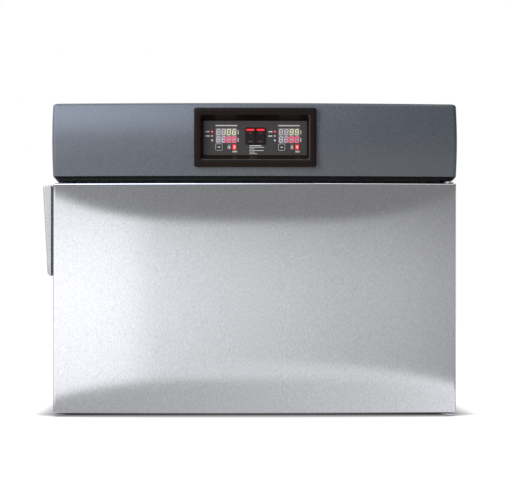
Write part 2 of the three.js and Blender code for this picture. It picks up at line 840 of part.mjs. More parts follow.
// One hinge: `edge` is the door edge it serves and `up` is 1 above the door and -1 below it.
function hinge(name, edge, up) {
  const between = (from, to) => [edge + up * from, edge + up * to].sort((a, b) => a - b);
  const ordered = (profile) => {
    const heights = profile.map(([r, h]) => [r, edge + up * h]);
    return up > 0 ? heights : heights.reverse();
  };
  const leafTop = HINGE_PLAY + HINGE_LEAF;
  const pinHole = circle(hingeX, hingeY, boreRadius, ROUND_SIDES);
  const blade = [bladeLeft, bladeRight, -SEAT - HINGE_LEAF, -SEAT];
  const leaf = upright(leafPlan, ...between(HINGE_PLAY, leafTop), [pinHole]);
  place(
    cabinet,
    `hinge_bracket_${name}`,
    stainless,
    leaf.add(box(...blade, ...between(leafTop - HINGE_BLADE_HEIGHT, leafTop))),
  );
  const pin = ordered([
    [0, -PIN_REACH],
    [PIN_RADIUS, -PIN_REACH],
    [PIN_RADIUS, leafTop + SEAT],
    [PIN_HEAD_RADIUS, leafTop + SEAT],
    [PIN_HEAD_RADIUS, leafTop + SEAT + PIN_HEAD],
    [0, leafTop + SEAT + PIN_HEAD],
  ]);
  place(
    cabinet,
    `hinge_pin_${name}`,
    galvanised,
    turnedZ(pin, hingeX, hingeY, ROUND_SIDES),
  );
  const sleeve = boreRadius + BUSH_WALL;
  const bush = ordered([
    [boreRadius, -PIN_REACH],
    [sleeve, -PIN_REACH],
    [sleeve, SEAT],
    [BUSH_FLANGE_RADIUS, SEAT],
    [BUSH_FLANGE_RADIUS, SEAT + BUSH_FLANGE],
    [boreRadius, SEAT + BUSH_FLANGE],
    [boreRadius, -PIN_REACH],
  ]);
  hang(`hinge_bush_${name}`, nylon, turnedZ(bush, hingeX, hingeY, ROUND_SIDES));
  const seat = circle(hingeX, hingeY, sleeve + SEAT, ROUND_SIDES);
  return upright(seat, ...between(-PIN_REACH - SEAT, THROUGH));
}

const bushSeats = joined([hinge("top", doorTop, 1), hinge("bottom", doorBottom, -1)]);

// Room for the top hinge, cut from the foot of the head
const hingeRelief = box(
  bladeLeft - HINGE_RELIEF,
  WIDTH,
  -BODY_DEPTH,
  0,
  headBottom - THROUGH,
  doorTop + 2 * HINGE_PLAY + HINGE_LEAF + SEAT + PIN_HEAD,
);

// Door

function doorSection(inset, back, z) {
  const corner = DOOR_CORNER - inset;
  return level(bowPlan({ centre: doorCentre, side: inset, front: inset, corner, back }), z);
}

const bendTurns = [0, 1, 2, 3].map((i) => (i * Math.PI) / 6); // quarter turn in steps
const doorBends = bendTurns.map((turn) => ({
  inset: DOOR_BEND * (1 - Math.sin(turn)),
  rise: DOOR_BEND * (1 - Math.cos(turn)),
}));
const doorBody = skinned(
  [
    ...doorBends.map(({ inset, rise }) => doorSection(inset, doorBack, doorBottom + rise)),
    ...doorBends.map(({ inset, rise }) => doorSection(inset, doorBack, doorTop - rise)).reverse(),
  ],
  false,
);
const doorHollow = skinned(
  [doorBottom + SHEET, doorTop - SHEET].map((z) => doorSection(SHEET, doorBack + THROUGH, z)),
  false,
);
hang("door_skin", stainless, doorBody.subtract(doorHollow).subtract(bushSeats));

const coreBack = doorBack - SHEET - SEAT;
const coreLevels = [doorBottom + coreInset, doorTop - coreInset];
hang(
  "door_core",
  mineralWool,
  skinned(
    coreLevels.map((z) => doorSection(coreInset, coreBack, z)),
    false,
  ).subtract(bushSeats),
);
hang(
  "door_inner_panel",
  stainless,
  pressedPanel({
    outline: roundRect(-half + coreInset, half - coreInset, ...coreLevels, INNER_BEND),
    field: {
      x0: -chamberHalf + PANEL_FIELD_MARGIN,
      x1: chamberHalf - PANEL_FIELD_MARGIN,
      z0: chamberBottom + PANEL_FIELD_MARGIN,
      z1: chamberTop - PANEL_FIELD_MARGIN,
      corner: PANEL_FIELD_CORNER,
    },
    y: doorBack,
    sheet: SHEET,
    press: PANEL_PRESS,
  }),
);

// Gasket: a flat base on the door with a rounded bulb towards the face frame.
function gasketRing() {
  const base = doorBack + SEAT;
  const bulb = base + GASKET_BASE;
  const bulbRun = GASKET_WIDTH / 2 - GASKET_LIP;
  const bulbRise = -SEAT - bulb;
  const profile = [
    [GASKET_WIDTH, bulb],
    [GASKET_WIDTH, base],
    [0, base],
    [0, bulb],
    ...arc(0, 0, 1, Math.PI, 0, SMALL_SIDES / 2).map((p) => [
      GASKET_WIDTH / 2 + bulbRun * p.x,
      bulb + bulbRise * p.y,
    ]),
  ];
  const sections = profile.map(([out, y]) => {
    const grow = GASKET_LAND + out;
    const outline = roundRect(
      -chamberHalf - grow,
      chamberHalf + grow,
      chamberBottom - grow,
      chamberTop + grow,
      GASKET_CORNER + out,
    );
    return station(outline, y);
  });
  return skinned(sections, true);
}
hang("door_gasket", greySilicone, gasketRing());

// Pull: plan sections with a scooped back, drawn in along the taper and at its two ends.
const pullTop = doorTop - PULL_DROP;
const pullBottom = pullTop - PULL_HEIGHT;
const pullRoot = -half - PULL_BASE - 2 * SEAT;
const pullFront = doorFront + PULL_SETBACK;

function pullSection(reach, z) {
  const nose = arc(
    PULL_NOSE - PULL_REACH_TOP,
    pullFront + PULL_NOSE,
    PULL_NOSE,
    Math.PI,
    1.5 * Math.PI,
    CORNER_STEPS,
  );
  const scoopX = PULL_REACH_TOP;
  const scoopY = PULL_DEPTH - PULL_WEB;
  const scoop = arc(0, 0, 1, 0, -Math.PI / 2, SMALL_SIDES / 2).map(
    (p) => new THREE.Vector2(-scoopX + scoopX * p.x, pullFront + PULL_DEPTH + scoopY * p.y),
  );
  const plan = [...nose, new THREE.Vector2(0, pullFront), ...scoop];
  return plan.map((p) => new THREE.Vector3(pullRoot + (p.x * reach) / PULL_REACH_TOP, p.y, z));
}

function pullReach(z) {
  const along = (z - pullBottom) / PULL_HEIGHT;
  return PULL_REACH_BOTTOM + (PULL_REACH_TOP - PULL_REACH_BOTTOM) * along;
}

const pullRounds = bendTurns.map((turn) => {
  const z = pullTop - PULL_TOP_ROUND * (1 - Math.sin(turn));
  return pullSection(pullReach(z) - PULL_TOP_ROUND * (1 - Math.cos(turn)), z);
});
hang(
  "door_pull",
  satinCast,
  skinned(
    [
      pullSection(PULL_REACH_BOTTOM - PULL_END_CHAMFER, pullBottom),
      pullSection(pullReach(pullBottom + PULL_END_CHAMFER), pullBottom + PULL_END_CHAMFER),
      ...pullRounds,
    ],
    false,
  ),
);
hang(
  "pull_base",
  blackPlastic,
  endwise(
    roundRect(
      -half - SEAT - PULL_BASE,
      -half - SEAT,
      pullBottom + PULL_BASE_MARGIN,
      pullTop - PULL_BASE_MARGIN,
      PULL_BASE_CORNER,
    ),
    pullFront + PULL_BASE_MARGIN,
    pullFront + PULL_DEPTH - PULL_BASE_MARGIN,
  ),
);

// Magnetic latch beside the gasket, level with the pull's middle

const latchZ = (pullTop + pullBottom) / 2;
const latchLeft = -caseHalf + HINGE_BLADE_MARGIN;
const strikeFront = -SEAT - STRIKE_SHEET;
const latchFace = [
  latchLeft,
  latchLeft + LATCH_WIDTH,
  latchZ - LATCH_HEIGHT / 2,
  latchZ + LATCH_HEIGHT / 2,
];
place(
  cabinet,
  "strike_plate",
  galvanised,
  endwise(roundRect(...latchFace, LATCH_CORNER), strikeFront, -SEAT),
);
hang(
  "latch_magnet",
  rubber,
  endwise(roundRect(...latchFace, LATCH_CORNER), doorBack + SEAT, strikeFront - MAGNET_GAP),
);

// Control head

function headPlan(inset, crown) {
  return bowPlan({
    centre: headCentre,
    side: inset - HEAD_CROWN_SIDE * crown,
    front: inset - HEAD_CROWN_FRONT * crown,
    corner: HEAD_CORNER,
    back: BODY_DEPTH,
    backCorner: HEAD_BACK_CORNER,
  });
}

// The head's form drawn in by `wall`: chamfered foot, crowned face and rounded top edge.
function headForm(wall, below) {
  const drop = below / HEAD_CHAMFER_RISE;
  const sections = [
    level(headPlan(wall + HEAD_CHAMFER_RUN * (1 + drop), 0), headBottom - below),
  ];
  for (let i = 0; i <= CROWN_STEPS; i += 1) {
    const along = i / CROWN_STEPS;
    const crown = 1 - (2 * along - 1) ** 2;
    sections.push(level(headPlan(wall, crown), chamferTop + (faceTop - chamferTop) * along));
  }
  const round = HEAD_ROUND - wall;
  for (const turn of bendTurns.slice(1)) {
    const plan = headPlan(wall + round * (1 - Math.cos(turn)), 0);
    sections.push(level(plan, faceTop + round * Math.sin(turn)));
  }
  // The back is one upright face: what would lie behind the inner or outer face is cut away.
  const rear = BODY_DEPTH - wall;
  const keep = box(-WIDTH, WIDTH, -BODY_DEPTH, rear, headBottom - below, headTop + THROUGH);
  return skinned(sections, false).intersect(keep);
}

const recessMouth = (grow) =>
  centredRect(
    0,
    bezelZ,
    RECESS_WIDTH + 2 * grow,
    RECESS_HEIGHT + 2 * grow,
    RECESS_CORNER + grow,
  );
const recessEnd = (grow) =>
  centredRect(
    0,
    bezelZ,
    PLATE_VIEW_WIDTH + 2 * grow,
    PLATE_VIEW_HEIGHT + 2 * grow,
    PLATE_VIEW_CORNER + grow,
  );

const trayBottom = headBottom;
const trayTop = trayBottom + TRAY_SHEET;
const headInside = BODY_DEPTH - HEAD_WALL;
const inletZ = trayTop + INLET_RISE;
const vents = [];
for (let i = 0; i < VENT_COUNT; i += 1) {
  const x = ventX + (i - (VENT_COUNT - 1) / 2) * VENT_PITCH;
  const slot = centredRect(x, inletZ, VENT_SLOT, VENT_LENGTH, VENT_SLOT / 2);
  vents.push(endwise(slot, headInside - THROUGH, BODY_DEPTH + THROUGH));
}

// Lower corners cut off, as on the standard appliance inlet.
function inletOutline(grow) {
  const x = INLET_WIDTH / 2 + grow;
  const z = INLET_HEIGHT / 2 + grow;
  const cut = INLET_CHAMFER;
  return [
    [-x + cut, -z],
    [x - cut, -z],
    [x, -z + cut],
    [x, z],
    [-x, z],
    [-x, -z + cut],
  ].map(([dx, dz]) => new THREE.Vector2(inletX + dx, inletZ + dz));
}

const panelHole = endwise(
  recessMouth(BEZEL_TUBE_WALL + SEAT),
  bezelFront - THROUGH,
  plateFront + HEAD_WALL,
);
const inletHole = endwise(inletOutline(SEAT), headInside - THROUGH, BODY_DEPTH + THROUGH);
place(
  cabinet,
  "head_cover",
  charcoal,
  headForm(0, 0)
    .subtract(headForm(HEAD_WALL, THROUGH))
    .subtract(joined([panelHole, inletHole, hingeRelief, ...vents])),
);

const trayPlan = bowPlan({
  centre: headCentre,
  side: HEAD_CHAMFER_RUN + HEAD_WALL + SEAT,
  front: HEAD_CHAMFER_RUN + HEAD_WALL + SEAT,
  corner: HEAD_CORNER,
  back: headInside - SEAT,
});
place(
  cabinet,
  "head_tray",
  galvanised,
  upright(trayPlan, trayBottom, trayTop).subtract(hingeRelief),
);

const inletFace = BODY_DEPTH + SEAT + INLET_FLANGE;
const pinFloor = inletFace - INLET_POCKET;
const inletShell = endwise(
  centredRect(inletX, inletZ, INLET_FLANGE_WIDTH, INLET_FLANGE_HEIGHT, INLET_CHAMFER),
  BODY_DEPTH + SEAT,
  inletFace,
).add(endwise(inletOutline(0), BODY_DEPTH + SEAT - INLET_DEPTH, inletFace));
const inletPins = [-1, 0, 1].map((step) => {
  const x = inletX + step * INLET_PIN_PITCH;
  const z = inletZ + (step === 0 ? -1 : 1) * INLET_PIN_THICK;
  const blade = centredRect(x, z, INLET_PIN_THICK, INLET_PIN_WIDTH, INLET_PIN_CORNER);
  return endwise(blade, pinFloor - THROUGH, inletFace - INLET_PIN_RECESS);
});
place(
  cabinet,
  "power_inlet",
  blackPlastic,
  inletShell
    .subtract(endwise(inletOutline(-INLET_WALL), pinFloor, inletFace + THROUGH))
    .add(joined(inletPins)),
);

// Switching gear on the tray

function relayOutline() {
  const outer = RELAY_LENGTH / 2;
  const inner = outer - RELAY_STEP;
  const low = RELAY_BASE;
  const ledge = RELAY_HEIGHT - RELAY_STEP;
  return [
    [-outer, 0],
    [outer, 0],
    [outer, low],
    [outer - low, low],
    [outer - low, ledge],
    [inner, ledge],
    [inner, RELAY_HEIGHT],
    [-inner, RELAY_HEIGHT],
    [-inner, ledge],
    [-outer + low, ledge],
    [-outer + low, low],
    [-outer, low],
  ].map(([y, z]) => new THREE.Vector2(y, z));
}

for (const [zone, x] of [
  ["upper", -RELAY_X],
  ["lower", RELAY_X],
]) {
  const relay = place(
    cabinet,
    `relay_${zone}`,
    relayGrey,
    crosswise(relayOutline(), -RELAY_WIDTH / 2, RELAY_WIDTH / 2),
  );
  relay.position.set(x, RELAY_Y, trayTop + SEAT);
}

// Comb outline: a base with a rib at each side of every terminal.
function terminalOutline() {
  const points = [
    [0, 0],
    [TERMINAL_COUNT * TERMINAL_PITCH + TERMINAL_RIB, 0],
  ];
  for (let i = TERMINAL_COUNT; i >= 0; i -= 1) {
    const x = i * TERMINAL_PITCH;
    points.push([x + TERMINAL_RIB, TERMINAL_HEIGHT], [x, TERMINAL_HEIGHT]);
    if (i > 0) points.push([x, TERMINAL_BASE], [x - TERMINAL_PITCH + TERMINAL_RIB, TERMINAL_BASE]);
  }
  return points.map(([x, z]) => new THREE.Vector2(x, z));
}
const terminals = place(
  cabinet,
  "terminal_block",
  blackPlastic,
  endwise(terminalOutline(), 0, TERMINAL_DEPTH),
);
terminals.position.set(
  caseHalf - TERMINAL_INSET - TERMINAL_COUNT * TERMINAL_PITCH - TERMINAL_RIB,
  BODY_DEPTH - TERMINAL_SETBACK - TERMINAL_DEPTH,
  trayTop + SEAT,
);

// Bezel: a flange that follows the head's crowned face and a drafted tube behind it

const flangeBack = bezelFront + BEZEL_PROUD + HEAD_CROWN_FRONT + FRONT_BOW;
const flangeRing = (inset) =>
  centredRect(
    0,
    bezelZ,
    BEZEL_WIDTH - 2 * inset,
    BEZEL_HEIGHT - 2 * inset,
    BEZEL_CORNER - inset,
  );
const bezelFlange = skinned(
  [
    station(flangeRing(0), flangeBack),
    station(flangeRing(0), bezelFront + BEZEL_EDGE),
    station(flangeRing(BEZEL_EDGE), bezelFront),
  ],
  false,
).subtract(headForm(-SEAT, 0));
const bezelTube = skinned(
  [
    station(recessEnd(BEZEL_TUBE_WALL), bezelFront + RECESS_DEPTH),
    station(recessMouth(BEZEL_TUBE_WALL), bezelFront + BEZEL_EDGE),
  ],
  false,
);
const recess = skinned(
  [
    station(recessEnd(0), bezelFront + RECESS_DEPTH + THROUGH),
    station(recessEnd(0), bezelFront + RECESS_DEPTH),
    station(recessMouth(0), bezelFront),
    station(recessMouth(0), bezelFront - THROUGH),
  ],
  false,
);
place(cabinet, "panel_bezel", blackPlastic, bezelFlange.add(bezelTube).subtract(recess));

// Controls, drawn about the middle of the plate's face

const zones = [
  { zone: "upper", x: ZONE_X - ZONE_PITCH / 2 },
  { zone: "lower", x: ZONE_X + ZONE_PITCH / 2 },
];
const keys = [
  {
    name: "set_key",
    dx: SET_KEY_X,
    width: SET_KEY_WIDTH,
    height: SET_KEY_WIDTH,
    corner: SET_KEY_CORNER,
    material: keyGrey,
  },
  {
    name: "down_key",
    dx: DOWN_KEY_X,
    width: ARROW_KEY_WIDTH,
    height: ARROW_KEY_HEIGHT,
    corner: DOWN_KEY_CORNER,
    material: keyGrey,
  },
  {
    name: "up_key",
    dx: UP_KEY_X,
    width: ARROW_KEY_WIDTH,
    height: ARROW_KEY_HEIGHT,
    corner: UP_KEY_CORNER,
    material: keyRed,
  },
];
const lipBack = PLATE_SHEET + SEAT + KEY_LIP_THICK;
const moduleFront = lipBack + KEY_TRAVEL + SEAT;
const lampSteps = [-1, 0, 1];

function keyOutline(key, x, grow) {
  return centredRect(
    x + key.dx,
    -KEY_DROP,
    key.width + 2 * grow,
    key.height + 2 * grow,
    key.corner + grow,
  );
}

const displayHole = (x, grow) =>
  centredRect(
    x,
    DISPLAY_RISE,
    DISPLAY_WIDTH + 2 * grow,
    DISPLAY_HEIGHT + 2 * grow,
    DISPLAY_CORNER,
  );
const switchHole = centredRect(
  SWITCH_X,
  SWITCH_RISE,
  SWITCH_PITCH + SWITCH_BODY_WIDTH + 2 * SEAT,
  SWITCH_BODY_HEIGHT + 2 * SEAT,
  SWITCH_CORNER,
);
const plateHoles = [
  switchHole,
  ...zones.flatMap(({ x }) => [
    displayHole(x, SEAT),
    ...keys.map((key) => keyOutline(key, x, RUN)),
    ...lampSteps.map((step) =>
      circle(x + LAMP_X, LAMP_RISE + step * LAMP_PITCH, LAMP_RADIUS + SEAT, SMALL_SIDES),
    ),
  ]),
];
place(
  controls,
  "control_plate",
  platePaint,
  endwise(
    centredRect(
      0,
      0,
      PLATE_VIEW_WIDTH + 2 * PLATE_OVERLAP,
      PLATE_VIEW_HEIGHT + 2 * PLATE_OVERLAP,
      PLATE_VIEW_CORNER,
    ),
    0,
    PLATE_SHEET,
    plateHoles,
  ),
);

// Controller: the module behind the plate, and an arm that carries its three lamps.
function controller(x) {
  const housing = endwise(
    roundRect(
      x - MODULE_WIDTH / 2,
      x + MODULE_WIDTH / 2,
      -MODULE_BOTTOM,
      MODULE_TOP,
      PLATE_VIEW_CORNER,
    ),
    moduleFront,
    moduleFront + MODULE_DEPTH,
  );
  const lampX = x + LAMP_X;
  const arm = endwise(
    roundRect(
      lampX - 2 * LAMP_RADIUS,
      x,
      LAMP_RISE - LAMP_PITCH - 2 * LAMP_RADIUS,
      LAMP_RISE + LAMP_PITCH + 2 * LAMP_RADIUS,
      LAMP_RADIUS,
    ),
    moduleFront,
    moduleFront + MODULE_ARM,
  );
  const dome = arc(0, 0, 1, -Math.PI / 2, 0, CORNER_STEPS);
  const lampProfile = [
    ...dome.map((p) => [LAMP_RADIUS * p.x, LAMP_PROUD * p.y]),
    [LAMP_RADIUS, moduleFront + LAMP_RADIUS],
    [0, moduleFront + LAMP_RADIUS],
  ];
  const lamps = lampSteps.map((step) =>
    turnedY(lampProfile, lampX, LAMP_RISE + step * LAMP_PITCH, SMALL_SIDES),
  );
  return joined([housing, arm, ...lamps]);
}

for (const { zone, x } of zones) {
  place(controls, `controller_${zone}`, blackPlastic, controller(x));
  place(
    controls,
    `display_${zone}`,
    lensGrey,
    endwise(displayHole(x, 0), SEAT, moduleFront - SEAT),
  );
  for (const key of keys) {
    const cap = endwise(keyOutline(key, x, 0), -KEY_PROUD, lipBack);
    const lip = endwise(keyOutline(key, x, KEY_LIP), PLATE_SHEET + SEAT, lipBack);
    place(controls, `${key.name}_${zone}`, key.material, cap.add(lip));
  }
}

// Rocker switches: a flanged body through the plate and a rocker on two stub pivots

function switchBody(x) {
  const flange = centredRect(
    x,
    SWITCH_RISE,
    SWITCH_FLANGE_WIDTH,
    SWITCH_FLANGE_HEIGHT,
    SWITCH_CORNER,
  );
  const body = centredRect(x, SWITCH_RISE, SWITCH_BODY_WIDTH, SWITCH_BODY_HEIGHT, SWITCH_CORNER);
  const pocket = centredRect(
    x,
    SWITCH_RISE,
    ROCKER_WIDTH + 2 * RUN,
    2 * (ROCKER_RADIUS + RUN),
    RUN,
  );
  const pivot = rodX(
    x - SWITCH_BODY_WIDTH,
    x + SWITCH_BODY_WIDTH,
    PIVOT_BEHIND,
    SWITCH_RISE,
    PIVOT_RADIUS + RUN,
    SMALL_SIDES,
  );
  const flangeFront = -SEAT - SWITCH_FLANGE;
  return endwise(flange, flangeFront, -SEAT)
    .add(endwise(body, flangeFront, SWITCH_DEPTH))
    .subtract(endwise(pocket, flangeFront - THROUGH, SWITCH_POCKET))
    .subtract(pivot);
}

// Rocker about its own pivot: round ends, a dished front and a narrower back.
function rocker() {
  const reach = Math.asin(ROCKER_FRONT / ROCKER_RADIUS);
  const tuck = Math.asin(ROCKER_BACK / ROCKER_RADIUS);
  const end = arc(0, 0, ROCKER_RADIUS, -tuck, reach, CORNER_STEPS);
  const top = end.map((p) => new THREE.Vector2(-p.y, p.x));
  const bottom = end.map((p) => new THREE.Vector2(-p.y, -p.x)).reverse();
  const dish = new THREE.Vector2(ROCKER_DISH - ROCKER_FRONT, 0);
  const profile = [...top, dish, ...bottom];
  const stubs = ROCKER_WIDTH / 2 + PIVOT_STUB;
  return crosswise(profile, -ROCKER_WIDTH / 2, ROCKER_WIDTH / 2).add(
    rodX(-stubs, stubs, 0, 0, PIVOT_RADIUS, SMALL_SIDES),
  );
}

for (const [zone, side] of [
  ["upper", -1],
  ["lower", 1],
]) {
  const x = SWITCH_X + (side * SWITCH_PITCH) / 2;
  place(controls, `switch_body_${zone}`, blackPlastic, switchBody(x));
  const tipped = place(controls, `rocker_${zone}`, blackPlastic, rocker());
  tipped.position.set(x, PIVOT_BEHIND, SWITCH_RISE);
  tipped.rotation.x = THREE.MathUtils.degToRad(ROCKER_TILT);
}

// The origin is the middle of the footprint, on the table
const footprint = new THREE.Box3().setFromObject(cabinet).getCenter(new THREE.Vector3());
cabinet.position.set(-footprint.x, -footprint.y, 0);
const part = new THREE.Group();
part.add(cabinet);

export default part;
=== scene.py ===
import bmesh
import bpy
import numpy as np
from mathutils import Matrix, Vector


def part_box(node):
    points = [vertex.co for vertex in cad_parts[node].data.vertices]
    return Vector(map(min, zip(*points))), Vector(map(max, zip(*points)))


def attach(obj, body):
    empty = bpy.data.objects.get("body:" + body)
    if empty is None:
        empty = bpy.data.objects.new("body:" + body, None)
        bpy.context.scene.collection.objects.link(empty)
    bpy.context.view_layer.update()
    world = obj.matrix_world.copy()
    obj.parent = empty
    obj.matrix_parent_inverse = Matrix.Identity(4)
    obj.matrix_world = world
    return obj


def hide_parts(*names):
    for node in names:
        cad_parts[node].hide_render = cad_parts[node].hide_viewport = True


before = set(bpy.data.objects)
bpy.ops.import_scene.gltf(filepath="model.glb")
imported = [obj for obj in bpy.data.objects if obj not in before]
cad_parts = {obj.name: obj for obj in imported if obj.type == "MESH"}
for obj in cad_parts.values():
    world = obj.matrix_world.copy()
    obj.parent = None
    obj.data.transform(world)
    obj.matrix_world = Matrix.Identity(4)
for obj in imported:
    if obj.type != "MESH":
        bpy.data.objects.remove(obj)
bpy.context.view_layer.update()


# Camera: it stands level, 3.2 m in front of the door and a little to the left, at the height of the
# door's middle. The lens is raised and not tilted, so upright edges stay upright in the picture.
PICTURE_WIDTH = 512
PICTURE_MIDDLE = (256, 248)
AIM_PIXEL = (255.2, 298.5)
METRES_PER_PIXEL = 0.001878
CAMERA_AWAY = 3.2
CAMERA_LEFT = 0.060
CAMERA_HEIGHT = 0.2228
SENSOR = 36.0


def corners_of(node):
    """Lowest and highest corner of a CAD node, as the rows of an array."""
    return np.array([tuple(corner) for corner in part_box(node)])


skin_low, skin_high = corners_of("door_skin")
door_middle = (skin_low[0] + skin_high[0]) / 2
camera = bpy.data.objects.new("camera", bpy.data.cameras.new("camera"))
camera.data.sensor_width = SENSOR
camera.data.lens = SENSOR * CAMERA_AWAY / (PICTURE_WIDTH * METRES_PER_PIXEL)
camera.data.shift_x = (PICTURE_MIDDLE[0] - AIM_PIXEL[0]) / PICTURE_WIDTH
camera.data.shift_y = (AIM_PIXEL[1] - PICTURE_MIDDLE[1]) / PICTURE_WIDTH
camera.location = (door_middle - CAMERA_LEFT, skin_low[1] - CAMERA_AWAY, CAMERA_HEIGHT)
camera.rotation_euler = (np.pi / 2, 0, -np.arctan2(CAMERA_LEFT, CAMERA_AWAY))
bpy.context.collection.objects.link(camera)
bpy.context.scene.camera = camera
bpy.context.scene.view_settings.view_transform = "Standard"


# Studio: a white room that lights matt surfaces evenly, with a soft lamp at the left. Polished metal
# sees a tall soft box at the left, a dimmer right side, a dark ceiling band with a bright panel over it,
# and a table edge below. Each table gives a level against the bearing in degrees, 0 to the front.
ROOM_LIGHT = 0.66
WALL_LEVELS = [
    (-180, 0.62), (-120, 0.75), (-75, 0.95), (-55, 1.45), (-30, 1.42), (-18, 1.38), (-13.4, 1.36),
    (-11.3, 1.32), (-10, 1.26), (-8.6, 1.11), (-7.2, 1.0), (-3.7, 0.90), (1.1, 0.80), (5.4, 0.72),
    (9.5, 0.648), (13.7, 0.592), (17.9, 0.505), (28, 0.42), (60, 0.55), (110, 0.75), (180, 0.62),
]
BAND_LEVELS = [
    (-180, 0.5), (-8, 0.90), (-3.7, 0.88), (1.1, 0.85), (9.5, 0.83), (13.7, 0.88), (17.9, 1.02),
    (30, 1.0), (180, 0.5),
]
TABLE_LEVELS = [
    (-180, 0.5), (-60, 0.45), (-15, 0.49), (-7, 0.55), (1.5, 0.63), (10, 0.72), (14, 0.79),
    (18.3, 0.93), (30, 0.95), (90, 0.6), (180, 0.5),
]
OVERHEAD_LEVELS = [
    (-180, 0.9), (-100, 1.2), (-60, 3.2), (-20, 4.3), (-8, 3.7), (-3, 2.6), (3, 0.9), (7, 0.2),
    (11, 0.2), (18, 0.0), (170, 0.0), (180, 0.9),
]
ZENITH_LEVELS = [
    (-180, 1.1), (-170, 2.4), (-110, 2.4), (-80, 0.8), (-20, 0.9), (0, 1.7), (20, 1.5), (50, 1.3),
    (80, 0.3), (115, 0.0), (170, 0.0), (180, 1.1),
]
NEAR_TABLE_LEVELS = [
    (-180, 0.95), (-130, 0.8), (-75, 0.55), (-35, 0.8), (-18, 0.9), (18, 0.9), (40, 0.62), (75, 0.5),
    (120, 0.75), (180, 0.95),
]
LEVEL_TOP = 5.0
FADE_UP = 0.047
FADE_BRIGHT = 0.02
FADE_DOWN = 0.013
FADE_END = 3.0
CEILING_EDGE = (2.57, 0.77, 1.0, 16.8, 3.3)
CEILING_BLUR = 0.16
CEILING_LEVEL = 0.213
CEILING_SHARE = 0.08
OVERHEAD = (6.0, 17.0)
OVERHEAD_BLUE = (0.86, 0.96, 1.2)
ZENITH = (34.0, 46.0)
EDGE_END = 1.1
EDGE_BLUR = 0.12
BAND_EDGE = (-2.12, -0.7, 0.0, 18.3, 2.5)
TABLE_EDGE = (-2.71, -0.54, 1.5, 17.4, 3.4)
NEAR_TABLE = (-14.0, -7.0)
UNDERSIDE = (-65.0, -45.0)
UNDERSIDE_LEVEL = 0.15
KEY_PLACE = (-1.25, -1.35, 0.95)
KEY_AIM = (0.0, -0.25, 0.35)
KEY_SIZE = (0.8, 1.3)
KEY_POWER = 32.0


class Value:
    """A socket in an expression: each operator adds one Math node."""

    def __init__(self, nodes, socket):
        self.nodes = nodes
        self.socket = socket

    def __add__(self, other):
        return self.nodes.math("ADD", self, other)

    def __sub__(self, other):
        return self.nodes.math("SUBTRACT", self, other)

    def __rsub__(self, other):
        return self.nodes.math("SUBTRACT", other, self)

    def __mul__(self, other):
        return self.nodes.math("MULTIPLY", self, other)

    def __truediv__(self, other):
        return self.nodes.math("DIVIDE", self, other)

    def __pow__(self, other):
        return self.nodes.math("POWER", self, other)

    __radd__ = __add__
    __rmul__ = __mul__


class Nodes:
    """The node tree of a material or of the world."""

    def __init__(self, owner):
        owner.use_nodes = True
        self.owner = owner
        self.tree = owner.node_tree
        self.tree.nodes.clear()

    def add(self, kind, settings=(), sockets=()):
        """One node: its type, its settings, then a number, colour or link for each socket."""
        node = self.tree.nodes.new("ShaderNode" + kind)
        for name, setting in dict(settings).items():
            if name == "stops":
                self.stops(node.color_ramp.elements, setting)
            else:
                setattr(node, name, setting)
        for name, value in dict(sockets).items():
            named = [s for s in node.inputs if s.enabled and s.name == name]
            socket = named[0] if named else node.inputs[name]
            if isinstance(value, Value):
                self.tree.links.new(value.socket, socket)
            elif socket.type == "RGBA":
                socket.default_value = (*value[:3], 1.0)
            else:
                socket.default_value = value
        return {s.name: Value(self, s) for s in node.outputs if s.enabled}

    def stops(self, elements, levels):
        """Grey stops of a ramp, from (position, level) pairs in rising order."""
        elements[0].position = levels[0][0]
        elements[1].position = levels[-1][0]
        for position, _ in levels[1:-1]:
            elements.new(position)
        for element, (_, level) in zip(elements, levels):
            element.color = (level, level, level, 1.0)

    def math(self, operation, *terms):
        """A Math node on one or two terms."""
        return self.add("Math", {"operation": operation}, dict(enumerate(terms)))["Value"]

    def step(self, value, low, high):
        """0 below low and 1 above high, with a smooth rise between."""
        bounds = {"Value": value, "From Min": low, "From Max": high}
        return self.add("MapRange", {"interpolation_type": "SMOOTHSTEP"}, bounds)["Result"]

    def blend(self, first, second, share):
        """Colour mixed from first to second by share."""
        sockets = {"Factor": share, "A": first, "B": second}
        return self.add("Mix", {"data_type": "RGBA"}, sockets)["Result"]

    def toned(self, colour, low, high, share):
        """The colour, from low times itself where share is 0 to high times itself where it is 1."""
        return self.blend(np.multiply(colour, low), np.multiply(colour, high), share)

    def place(self):
        """The x, y and z of the piece's own coordinates."""
        return self.add("SeparateXYZ", {}, {"Vector": self.add("TexCoord")["Object"]})

    def noise(self, waves, detail=2.0):
        """Noise on the piece's own coordinates: waves per metre, one number or one for each axis."""
        sockets = {"Vector": self.add("TexCoord")["Object"], "Scale": tuple(np.ones(3) * waves)}
        grain = self.add("Mapping", {}, sockets)["Vector"]
        return self.add("TexNoise", {}, {"Vector": grain, "Scale": 1.0, "Detail": detail})["Fac"]

    def bump(self, height, depth):
        """Normal of a surface that rises by depth metres as height goes from 0 to 1."""
        return self.add("Bump", {}, {"Height": height, "Distance": depth, "Strength": 1.0})["Normal"]

    def finished(self, sockets):
        """Closes a material with one Principled shader."""
        shader = self.add("BsdfPrincipled", {}, sockets)["BSDF"]
        self.add("OutputMaterial", {}, {"Surface": shader})
        return self.owner


